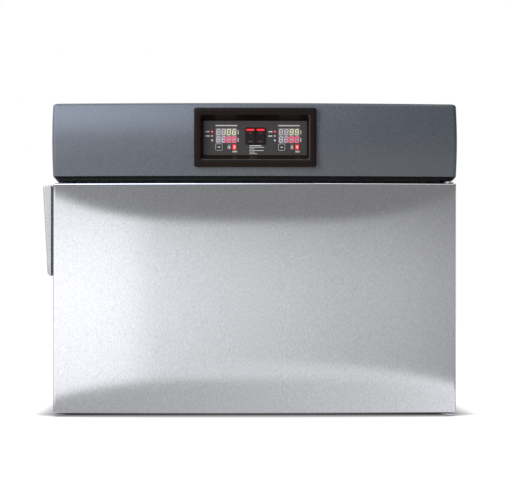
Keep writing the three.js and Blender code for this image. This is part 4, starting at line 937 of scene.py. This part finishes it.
PANEL_CUT = 0.05
HEAD_SCREW_RISE = 0.014
HEAD_SCREW_PITCH = 0.22
HEAD_SCREW_COUNT = 4

head_low, head_high = corners_of("head_cover")
case_low, case_high = corners_of("case_wrap")
head_middle = (head_low[0] + head_high[0]) / 2
head_reach = (head_high[0] - head_low[0]) / 2 - HEAD_CROWN[0]
head_centre = skin_low[1] + bow_radius - HEAD_PROUD
face_foot = head_low[2] + HEAD_CHAMFER[1]
face_top = head_high[2] - HEAD_ROUND


def crown_at(along):
    """Share of the face's crown: a parabola of the way up it, 0 at both ends and 1 in the middle."""
    return 1 - (2 * along - 1) ** 2


def head_rings(wall, below):
    """The head's form drawn in by wall and carried on below its foot: a chamfer, a crowned face, a
    quarter round along the top and a flat top."""
    along = np.linspace(0, 1, 17)
    edge = HEAD_ROUND - wall
    round_in, round_short = (row[1:] for row in quarter_round(edge, 8))
    foot = HEAD_CHAMFER[0] * (1 + below / HEAD_CHAMFER[1])
    inset = wall + np.r_[foot, 0 * along, round_in, edge + TOP_MARGIN][:, None]
    crown = np.r_[0, crown_at(along), 0 * round_in, 0][:, None]
    face_z = face_foot + (face_top - face_foot) * along
    heights = np.r_[head_low[2] - below, face_z, face_top + edge - round_short, face_top + edge]
    back = np.full_like(inset, head_high[1] - wall)
    back[-1] -= TOP_MARGIN
    plans = bowed_plan(
        middle=head_middle,
        reach=head_reach - inset + HEAD_CROWN[0] * crown,
        radius=bow_radius - inset + HEAD_CROWN[1] * crown,
        corner=HEAD_CORNER,
        centre=head_centre,
        back=back,
        back_corner=HEAD_BACK_CORNER,
    )
    return stacked(plans, heights)


def slab(outline, middle, near, far):
    """An upright outline (points, 2) about middle (x, z), carried along y from near to far."""
    return loft(facing(np.stack([outline, outline]), [near, far], middle))


def plug(size, middle, near, far, steps=8):
    """A rounded-rectangle bar (width, height, corner) along y, from near to far."""
    return slab(rounded_rectangle(*size, steps), middle, near, far)


def evenly(count, pitch):
    """Places of a row of things, a pitch apart, on both sides of 0."""
    return pitch * (np.arange(count) - (count - 1) / 2)


def shell_finish(name, colour, chamfer_shade):
    """Charcoal moulding with a fine pebbled skin; below the face's foot, on the chamfer that faces down
    over the door, it turns near black: painted shade.
    """
    nodes = material(name)
    skin = nodes.step(nodes.noise(620.0), 0.3, 0.7)
    clouds = nodes.noise(14.0, 3.0)
    relief = nodes.bump(skin, 0.00001)
    face = {
        "Base Color": nodes.toned(colour, 0.8, 1.2, skin * 0.8 + clouds * 0.2),
        "Roughness": 0.26 + 0.06 * (skin - 0.5) + 0.05 * (clouds - 0.5),
        "Normal": relief,
        "Specular IOR Level": 0.65,
    }
    # The down-facing chamfer below the face's foot, near black: painted shade.
    foot = {"Base Color": chamfer_shade, "Roughness": 0.35, "Normal": relief, "Specular IOR Level": 0.3}
    shaders = {
        "Fac": nodes.step(nodes.place()["Z"], face_foot - CHAMFER_SHADE_BLUR, face_foot),
        1: nodes.add("BsdfPrincipled", {}, foot)["BSDF"],
        2: nodes.add("BsdfPrincipled", {}, face)["BSDF"],
    }
    nodes.add("OutputMaterial", {}, {"Surface": nodes.add("MixShader", {}, shaders)["Shader"]})
    return nodes.owner


def spangled_zinc(name, colour):
    """Hot-dipped zinc: crystals of slightly different tone and gloss, a few millimetres across."""
    nodes = material(name)
    place = nodes.add("TexCoord")["Object"]
    crystals = nodes.add("TexVoronoi", {}, {"Vector": place, "Scale": 160.0})["Color"]
    tone = nodes.add("SeparateColor", {}, {"Color": crystals})["Red"]
    sockets = {
        "Base Color": nodes.toned(colour, 0.8, 1, tone),
        "Roughness": 0.3 + 0.2 * tone,
        "Metallic": 1.0,
    }
    return nodes.finished(sockets)


charcoal = shell_finish("charcoal_shell", CHARCOAL, CHAMFER_SHADE_BLACK)
head_shape = loft(head_rings(0.0, 0.0))
head_cover = piece(
    "head_cover_shell", "cabinet", charcoal, head_shape, ["head_cover"], HEAD_CREASE
)
bezel_middle = middle_of("panel_bezel")
inlet_middle = middle_of("power_inlet")
ahead, behind = head_low[1], head_high[1]
through_back = (behind - CUT_OVER, behind + CUT_OVER)
vent_x = case_low[0] + VENT_INSET + evenly(VENT_COUNT, VENT_PITCH)
relief_low = np.array([case_high[0] - HINGE_RELIEF[0], head_low[2] - CUT_OVER])
relief_high = np.array([head_high[0] + CUT_OVER, head_low[2] + HINGE_RELIEF[1]])
relief_size = (*(relief_high - relief_low), HAIR)
relief_middle = (relief_low + relief_high) / 2
head_cuts = [
    loft(head_rings(HEAD_WALL, CUT_BELOW)),
    plug(PANEL_HOLE, bezel_middle, ahead - CUT_OVER, ahead + PANEL_CUT),
    plug(INLET_HOLE, inlet_middle, *through_back),
    plug(relief_size, relief_middle, ahead - CUT_OVER, case_low[1] - RELIEF_GAP, steps=1),
    *(plug(VENT_SLOT, (x, head_low[2] + VENT_RISE), *through_back) for x in vent_x),
]
cut_away(head_cover, head_cuts, HEAD_CREASE)
head_screws = [
    button_screw((x, behind, head_low[2] + HEAD_SCREW_RISE), 1)
    for x in head_middle + evenly(HEAD_SCREW_COUNT, HEAD_SCREW_PITCH)
]
piece("head_screws", "cabinet", chrome, together(head_screws))
zinc = spangled_zinc("spangled_zinc", ZINC)
relay_grey = moulded_plastic("relay_grey", RELAY_GREY, roughness=0.5, pebble=1200.0, depth=0.00003)
dress(zinc, "head_tray")
dress(relay_grey, "relay_upper", "relay_lower")
dress(black_plastic, "terminal_block", "controller_upper", "controller_lower")


# Bezel: a black moulded frame let into the head. Its flange follows the crowned face behind and is
# flat in front; a drafted tube leads in to the control plate.
BEZEL_BLACK = (0.0086, 0.0052, 0.0036)
# Painted highlight: the pale grey of the recess lip on its lower and right sides, where they face the
# light.
LIP_HIGHLIGHT_GREY = (0.16, 0.165, 0.17)
LIP_START = (0.00024, 0.00072)
LIP_END = (0.0012, 0.0020)
BEZEL_CORNER = 0.004
BEZEL_EDGE = 0.0012
RECESS_MOUTH = np.array([0.204, 0.0835, 0.005])
RECESS_LIP = 0.0012
RECESS_DEPTH = 0.015
PLATE_VIEW = np.array([0.194, 0.0645, 0.002])
TUBE_WALL = 0.0025
BEZEL_SEAT = 0.0003
BOTH_SIDES = np.array([2, 2, 1])

bezel_front = corners_of("panel_bezel")[0, 1]


def head_face(x, z):
    """Depth y of the head's crowned face at x and z."""
    radius = bow_radius + HEAD_CROWN[1] * crown_at((z - face_foot) / (face_top - face_foot))
    return head_centre - np.sqrt(radius**2 - (x - head_middle) ** 2)


def bezel_finish(name, colour, lip_highlight):
    """Black moulding with a fine skin, with a painted highlight on the lower and right lip of the recess,
    where they face the light: a band in depth, kept to these two sides by its place across and up."""
    nodes = material(name)
    place = nodes.place()
    depth = place["Y"] - bezel_front
    lit_lip_band = nodes.step(depth, *LIP_START) * (1 - nodes.step(depth, *LIP_END))
    aside = place["X"] - bezel_middle[0]
    below = bezel_middle[1] - place["Z"]
    sides = []
    for along, reach in ((aside, RECESS_MOUTH[0] / 2), (below, RECESS_MOUTH[1] / 2)):
        near = nodes.step(along, reach - RECESS_MOUTH[2], reach)
        sides.append(near * (1 - nodes.step(along, reach + RECESS_LIP, reach + 2 * RECESS_LIP)))
    sockets = moulded_skin(nodes, colour, roughness=0.24, pebble=1400.0, depth=0.00002)
    # The painted highlight's share: the lip band, on the lower and right sides only.
    share = lit_lip_band * nodes.math("MAXIMUM", *sides)
    sockets["Base Color"] = nodes.blend(sockets["Base Color"], lip_highlight, share)
    return nodes.finished({**sockets, "Specular IOR Level": 0.16})


edge_in, edge_short = quarter_round(BEZEL_EDGE, 5)
lip_out, lip_short = (row[::-1] for row in quarter_round(RECESS_LIP, 5))
bezel_sizes = np.vstack(
    [
        np.append(size_of("panel_bezel"), BEZEL_CORNER) - np.outer(np.r_[0, edge_in], BOTH_SIDES),
        RECESS_MOUTH + np.outer(lip_out, BOTH_SIDES),
        PLATE_VIEW,
        PLATE_VIEW + TUBE_WALL * BOTH_SIDES,
        RECESS_MOUTH + TUBE_WALL * BOTH_SIDES,
    ]
)
bezel_y = bezel_front + np.r_[0, edge_short, lip_short, RECESS_DEPTH, RECESS_DEPTH, 0]
bezel_rings = facing(rounded_rectangle(*bezel_sizes.T[..., None]), bezel_y, bezel_middle)
flange = bezel_rings[[0, -1]]
bezel_rings[[0, -1], :, 1] = head_face(flange[..., 0], flange[..., 2]) - BEZEL_SEAT
bezel_shape = loft(bezel_rings, True)
bezel_black = bezel_finish("bezel_black", BEZEL_BLACK, LIP_HIGHLIGHT_GREY)
piece("panel_bezel_frame", "cabinet", bezel_black, bezel_shape, ["panel_bezel"])


# Control plate: painted sheet behind the bezel. Plain printed bars stand over and beside each display,
# by its lamps and keys, and in a short block under the switches.
PLATE_PAINT = (0.036, 0.0325, 0.0315)
MARK_WHITE = (0.72, 0.72, 0.70)
MARK_PROUD = 0.00006
MARK_CORNER = 0.2
TITLE_MARK = (0.0024, 0.0022)
TITLE_RISE = 0.0232
TITLE_PITCH = 0.0034
TITLE_COUNT = 12
ZONE_MARKS = [
    (-0.0349, 0.0118, 0.0075, 0.0018), (-0.0349, 0.0036, 0.0075, 0.0018),
    (0.0224, 0.0105, 0.0012, 0.0075), (0.0224, -0.0035, 0.0012, 0.0075),
    (0.0160, -0.0248, 0.0085, 0.0009), (0.0160, -0.0264, 0.0085, 0.0009),
]
NOTE_LEFT = -0.0108
NOTE_TOP = -0.0146
NOTE_PITCH = 0.0030
NOTE_BARS = [
    (0.0225, 0.0014), (0.0275, 0.0008), (0.0095, 0.0008), (0.0270, 0.0008), (0.0105, 0.0008),
    (0.0145, 0.0008),
]

plate_front = corners_of("control_plate")[0, 1]
plate_x, plate_z = middle_of("control_plate")
zone_x = {zone: middle_of(f"display_{zone}")[0] for zone in ("upper", "lower")}


def printed(name, colour):
    """Screen-printed ink: thin, with slightly uneven cover."""
    nodes = material(name)
    cover = nodes.noise(2200.0)
    sockets = {"Base Color": nodes.toned(colour, 0.8, 1, cover), "Roughness": 0.5 + 0.15 * cover}
    return nodes.finished(sockets)


def marks(bars, front):
    """Thin printed bars (x, z, width, height), a hair in front of the face they lie on."""
    return together(
        [plug((w, h, min(w, h) * MARK_CORNER), (x, z), front - MARK_PROUD, front) for x, z, w, h in bars]
    )


plate_paint = moulded_plastic(
    "plate_paint", PLATE_PAINT, roughness=0.45, pebble=1700.0, depth=0.00003, shine=0.3
)
white_ink = printed("white_ink", MARK_WHITE)
dress(plate_paint, "control_plate")
mark_bars = []
for x in zone_x.values():
    mark_bars += [(x + dx, plate_z + TITLE_RISE, *TITLE_MARK) for dx in evenly(TITLE_COUNT, TITLE_PITCH)]
    mark_bars += [(x + dx, plate_z + rise, *size) for dx, rise, *size in ZONE_MARKS]
for row, (width, height) in enumerate(NOTE_BARS):
    note_x = plate_x + NOTE_LEFT + width / 2
    mark_bars.append((note_x, plate_z + NOTE_TOP - NOTE_PITCH * row, width, height))
piece("plate_marks", "cabinet", white_ink, marks(mark_bars, plate_front))


# Displays: a smoked lens let into the plate over two rows of four seven-segment digits. Lit segments
# shine through it, the unlit ones show pale.
LENS_GREY = (0.175, 0.16, 0.185)
DIGIT_GREEN = (0.62, 0.66, 0.27)
GREEN_GROUND = (0.3, 0.32, 0.2)
DIGIT_RED = (1.0, 0.03, 0.13)
RED_GROUND = (0.4, 0.03, 0.05)
UNLIT_GREY = (0.62, 0.58, 0.62)
DIGIT_PITCH = 0.00995
DIGIT_SIZE = (0.0058, 0.0100)
DIGIT_ROWS = (0.0066, -0.0072)
DIGIT_SLANT = 0.10
SEGMENT = 0.00135
SEGMENT_GAP = 0.15
LIT_SEGMENTS = {"0": "abcdef", "1": "bc", "6": "afgedc", "9": "abcdfg", " ": ""}
READINGS = {"upper": (" 106", " 100"), "lower": ("  99", " 100")}


def display_lens(name, colour):
    """Tinted glossy lens with a faint haze."""
    nodes = material(name)
    haze = nodes.noise(120.0)
    sockets = {
        "Base Color": nodes.toned(colour, 0.9, 1, haze),
        "Roughness": 0.18 + 0.08 * haze,
        "Coat Weight": 0.3,
    }
    return nodes.finished(sockets)


def glowing(name, colour, strength, ground):
    """A lit lens: the colour glows evenly, a little less along a slow noise."""
    nodes = material(name)
    glow = nodes.noise(700.0, 1.0)
    sockets = {
        "Base Color": nodes.toned(ground, 0.8, 1, glow),
        "Roughness": 0.25 + 0.1 * glow,
        "Emission Color": nodes.toned(colour, 0.85, 1, glow),
        "Emission Strength": strength,
    }
    return nodes.finished(sockets)


def segment_bars(reading, middle, front):
    """Seven-segment digits about middle (x, z), slanted to the right: the six-sided bars of the lit
    segments, then those of the unlit ones."""
    width, height = DIGIT_SIZE
    places = {
        "a": (0, height / 2, True), "g": (0, 0, True), "d": (0, -height / 2, True),
        "b": (width / 2, height / 4, False), "c": (width / 2, -height / 4, False),
        "f": (-width / 2, height / 4, False), "e": (-width / 2, -height / 4, False),
    }
    ends = np.array([(-1, 0), (-1, 1), (1, 1), (1, 0), (1, -1), (-1, -1)])
    tips = np.where(ends[:, 1:] == 0, ends * (SEGMENT / 2, 0), 0)
    lit, unlit = [], []
    for digit, column in zip(reading, evenly(len(reading), DIGIT_PITCH)):
        for letter, (x, z, flat) in places.items():
            reach = (width if flat else height / 2) / 2 - SEGMENT * SEGMENT_GAP
            bar = ends * (reach - SEGMENT / 2, SEGMENT / 2) + tips
            bar = (bar if flat else bar[:, ::-1]) + (x, z)
            bar[:, 0] += bar[:, 1] * DIGIT_SLANT + column
            shown = lit if letter in LIT_SEGMENTS[digit] else unlit
            shown.append(slab(bar, middle, front - MARK_PROUD, front))
    return lit, unlit


lens = display_lens("display_lens", LENS_GREY)
green_glow = glowing("green_digits", DIGIT_GREEN, strength=1.0, ground=GREEN_GROUND)
red_glow = glowing("red_digits", DIGIT_RED, strength=1.3, ground=RED_GROUND)
unlit_grey = printed("unlit_segments", UNLIT_GREY)
digit_rows = list(zip(("reading", "setting"), (green_glow, red_glow), DIGIT_ROWS))
for zone, readings in READINGS.items():
    display = f"display_{zone}"
    dress(lens, display)
    dark_bars = []
    for (row, glow, rise), reading in zip(digit_rows, readings):
        lit, unlit = segment_bars(reading, middle_of(display) + (0, rise), corners_of(display)[0, 1])
        piece(f"{row}_{zone}", "cabinet", glow, together(lit))
        dark_bars += unlit
    piece(f"unlit_{zone}", "cabinet", unlit_grey, together(dark_bars))


# Lamps: three small domed lenses beside each display, moulded in tinted plastic and pressed through the
# plate. The top one is lit; the two below it are unlit, and their faint glow is painted light. Each row
# gives a lamp's glow, its strength and the lens's own colour.
LAMP_RADIUS = 0.0016
LAMP_PROUD = 0.0009
LAMP_X = -0.0264
LAMP_RISE = 0.0036
LAMP_PITCH = 0.0082
LAMP_SKIN = 0.00015
LAMP_TIP = 0.12
LAMPS = {
    # The two lower lenses are unlit; their glow is painted light.
    "lamp_pale_green": ((0.30, 0.42, 0.36), 0.6, (0.45, 0.52, 0.48)),
    "lamp_pale_pink": ((0.42, 0.22, 0.24), 0.5, (0.5, 0.36, 0.36)),
    "lamp_red": ((1.0, 0.05, 0.10), 1.1, (0.6, 0.05, 0.06)),
}

dome_turn = np.linspace(LAMP_TIP, np.pi / 2, 7)
lamp_radii = (LAMP_RADIUS + LAMP_SKIN) * np.r_[np.sin(dome_turn), 1]
lamp_along = np.r_[-(LAMP_PROUD + LAMP_SKIN) * np.cos(dome_turn), LAMP_SKIN]
lamp_z = plate_z + LAMP_RISE + evenly(len(LAMPS), LAMP_PITCH)
lamp_finishes = [glowing(name, *tint) for name, tint in LAMPS.items()]
for zone, x in zone_x.items():
    for step, (finish, z) in enumerate(zip(lamp_finishes, lamp_z)):
        lamp = loft(turned(lamp_radii, lamp_along, (x + LAMP_X, plate_front, z), "y", sides=20))
        piece(f"lamp_{zone}_{step}", "cabinet", finish, lamp)


# Keys: moulded caps that slide in the plate, with a printed outline, bar or arrow. Two are dark, the up
# key is red.
KEY_DARK = (0.016, 0.015, 0.015)
KEY_RED = (0.90, 0.026, 0.042)
KEY_EDGE = 0.0006
KEY_FLAT = 0.00096
KEY_CORNERS = {"set_key": 0.002, "down_key": 0.0032, "up_key": 0.001}
KEY_LIP = 0.0008
LEAST_CORNER = 0.0002
OUTLINE_INSET = 0.0008
OUTLINE_WIDTH = {"set_key": 0.0005, "down_key": 0.0003}
SET_BAR = (0.005, 0.0014)
ARROW = np.array([(0, 3.0), (2.1, 0.2), (0.8, 0.2), (0.8, -2.6), (-0.8, -2.6), (-0.8, 0.2), (-2.1, 0.2)])
ARROW_SCALE = {"up_key": (0.00115, 0.00115), "down_key": (0.00105, -0.00105)}


def shrunk(size, corner, inset):
    """Rounded rectangles, each drawn in by its inset on all sides."""
    inset = np.reshape(inset, (-1, 1))
    corner = np.maximum(corner - inset, LEAST_CORNER)
    return rounded_rectangle(size[0] - 2 * inset, size[1] - 2 * inset, corner)


def key_cap(size, corner, middle, front, back):
    """A rounded-rectangle cap with a quarter-round front edge and a flat face."""
    edge_in, edge_short = quarter_round(KEY_EDGE, 5)
    outlines = shrunk(size, corner, np.r_[0, edge_in, KEY_FLAT])
    return loft(facing(outlines, np.r_[back, front + edge_short, front], middle))


def ring_mark(size, corner, middle, front, width):
    """A printed rounded-rectangle outline."""
    outlines = shrunk(size, corner, width * np.array([0, 0, 1, 1]))
    return loft(facing(outlines, front - MARK_PROUD * np.array([0, 1, 1, 0]), middle), True)


key_dark = moulded_plastic("key_dark", KEY_DARK, roughness=0.35, pebble=1500.0, depth=0.00002)
key_red = moulded_plastic("key_red", KEY_RED, roughness=0.32, pebble=1500.0, depth=0.00002)
for zone in zone_x:
    for key, corner in KEY_CORNERS.items():
        node = f"{key}_{zone}"
        body = f"{zone}_{key}"
        finish, slot = (key_red, "key_red") if key == "up_key" else (key_dark, "key_dark")
        (_, front, _), (_, back, _) = corners_of(node)
        middle = middle_of(node)
        size = size_of(node) - 2 * KEY_LIP
        piece(f"{body}_cap", body, finish, key_cap(size, corner, middle, front, back), [node])
        label = []
        if key in OUTLINE_WIDTH:
            label.append(ring_mark(size - OUTLINE_INSET, corner, middle, front, OUTLINE_WIDTH[key]))
        if key in ARROW_SCALE:
            label.append(slab(ARROW * ARROW_SCALE[key], middle, front - MARK_PROUD, front))
        else:
            label.append(marks([(*middle, *SET_BAR)], front))
        piece(f"{body}_mark", body, white_ink, together(label))


# Rocker switches: a flanged black body clipped through the plate and a dished rocker on stub pivots.
# The rocker's upper end carries a red band that glows with no lamp behind it, a painted light, and two
# dull red dashes are printed on it.
ROCKER_BLACK = (0.010, 0.0080, 0.0072)
# Painted light: the red band on the rocker's upper end glows, with no lamp behind it.
RED_BAND_GLOW = (0.90, 0.016, 0.035)
RED_BAND_GROUND = (0.5, 0.02, 0.02)
DASH_RED = (0.26, 0.020, 0.016)
ROCKER_WIDTH = 0.0154
ROCKER_RADIUS = 0.0146
ROCKER_FRONT = 0.0062
ROCKER_DISH = 0.0022
ROCKER_BACK = 0.0045
ROCKER_EDGE = 0.0005
ROCKER_TILT = np.radians(8)
PIVOT_BEHIND = 0.002
PIVOT_RADIUS = 0.0016
PIVOT_PROUD = 0.0006
SWITCH_RISE = 0.0036
WINDOW_FROM = 0.0104
WINDOW_TO = 6
WINDOW_PROUD = 0.00012
WINDOW_BACK = 0.985
WINDOW_WIDTH = ROCKER_WIDTH - 0.0008
DASH_RISES = (0.0062, -0.0096)
DASH_HEIGHT = 0.0018
DASH_WIDTH = 0.0042


def rocker_front(rise):
    """Height of the dished front above the pivot: a parabola between the two ends."""
    tip = np.sqrt(ROCKER_RADIUS**2 - ROCKER_FRONT**2)
    return ROCKER_FRONT - ROCKER_DISH * (1 - (rise / tip) ** 2)


def across(out, rise, pivot, width):
    """A profile, out and rise about the pivot, turned by the tilt and carried across a width."""
    x = pivot[0] + width * np.array([[-0.5], [0.5]])
    y = pivot[1] - out * np.cos(ROCKER_TILT) - rise * np.sin(ROCKER_TILT)
    z = pivot[2] - out * np.sin(ROCKER_TILT) + rise * np.cos(ROCKER_TILT)
    return loft(joined(x, y, z))


end_turn = np.linspace(*np.arcsin(np.array([-ROCKER_BACK, ROCKER_FRONT]) / ROCKER_RADIUS), 9)
end_out, end_rise = ROCKER_RADIUS * np.sin(end_turn), ROCKER_RADIUS * np.cos(end_turn)
dish_rise = np.linspace(end_rise[-1], -end_rise[-1], 17)[1:-1]
rocker_out = np.r_[end_out, rocker_front(dish_rise), end_out[::-1]]
rocker_rise = np.r_[end_rise, dish_rise, -end_rise[::-1]]
lower_rise = np.linspace(WINDOW_FROM, end_rise[-1], 6)[:-1]
window_out = np.r_[rocker_front(lower_rise), end_out[:WINDOW_TO:-1]]
window_rise = np.r_[lower_rise, end_rise[:WINDOW_TO:-1]]
proud = 1 + WINDOW_PROUD / np.hypot(window_out, window_rise)
window_out = np.r_[window_out * proud, window_out[::-1] * WINDOW_BACK]
window_rise = np.r_[window_rise * proud, window_rise[::-1] * WINDOW_BACK]
rocker_black = moulded_plastic(
    "rocker_black", ROCKER_BLACK, roughness=0.28, pebble=1500.0, depth=0.00002, shine=0.2
)
red_band_glow = glowing("rocker_red_band_glow", RED_BAND_GLOW, strength=0.9, ground=RED_BAND_GROUND)
dim_red = printed("dim_red_ink", DASH_RED)
stub_end = ROCKER_WIDTH / 2 + PIVOT_PROUD
for zone in zone_x:
    body = f"{zone}_rocker"
    node = f"rocker_{zone}"
    pivot = (middle_of(node)[0], plate_front + PIVOT_BEHIND, plate_z + SWITCH_RISE)
    stubs = rod(PIVOT_RADIUS, (-stub_end, stub_end), pivot, "x", sides=16)
    shape = together([across(rocker_out, rocker_rise, pivot, ROCKER_WIDTH), stubs])
    soften(piece(f"{body}_dished", body, rocker_black, shape, [node]), ROCKER_EDGE)
    window = across(window_out, window_rise, pivot, WINDOW_WIDTH)
    piece(f"{body}_window", body, red_band_glow, window)
    dashes = []
    for rise in DASH_RISES:
        dash_rise = rise + DASH_HEIGHT * np.linspace(-0.5, 0.5, 3)
        dash_front = rocker_front(dash_rise)
        dash_out = np.r_[dash_front + MARK_PROUD, dash_front[::-1] - MARK_PROUD]
        dashes.append(across(dash_out, np.r_[dash_rise, dash_rise[::-1]], pivot, DASH_WIDTH))
    piece(f"{body}_marks", body, dim_red, together(dashes))
dress(rocker_black, "switch_body_upper", "switch_body_lower")


# Mains inlet: a moulded three-pin socket held through the back of the head by two flush screws. Its
# blades are plated brass.
INLET_BLADE = (0.0022, 0.0042, 0.0005)
INLET_BLADE_PITCH = 0.007
INLET_BLADE_STAGGER = 0.002
INLET_BLADE_ENDS = (0.0144, 0.0064)
INLET_SCREW = (0.0026, 0.00018, 0.00015)
INLET_SCREW_OUT = 0.0185

dress(black_plastic, "power_inlet")
inlet_face = corners_of("power_inlet")[1, 1]
blades = []
for step in (-1, 0, 1):
    blade_rise = INLET_BLADE_STAGGER if step else -INLET_BLADE_STAGGER
    blade_middle = inlet_middle + (step * INLET_BLADE_PITCH, blade_rise)
    blades.append(plug(INLET_BLADE, blade_middle, *(inlet_face - end for end in INLET_BLADE_ENDS)))
piece("inlet_blades", "cabinet", chrome, together(blades))
flush_screws = [
    button_screw((inlet_middle[0] + side * INLET_SCREW_OUT, inlet_face, inlet_middle[1]), 1, *INLET_SCREW)
    for side in (-1, 1)
]
piece("inlet_screws", "cabinet", chrome, together(flush_screws))
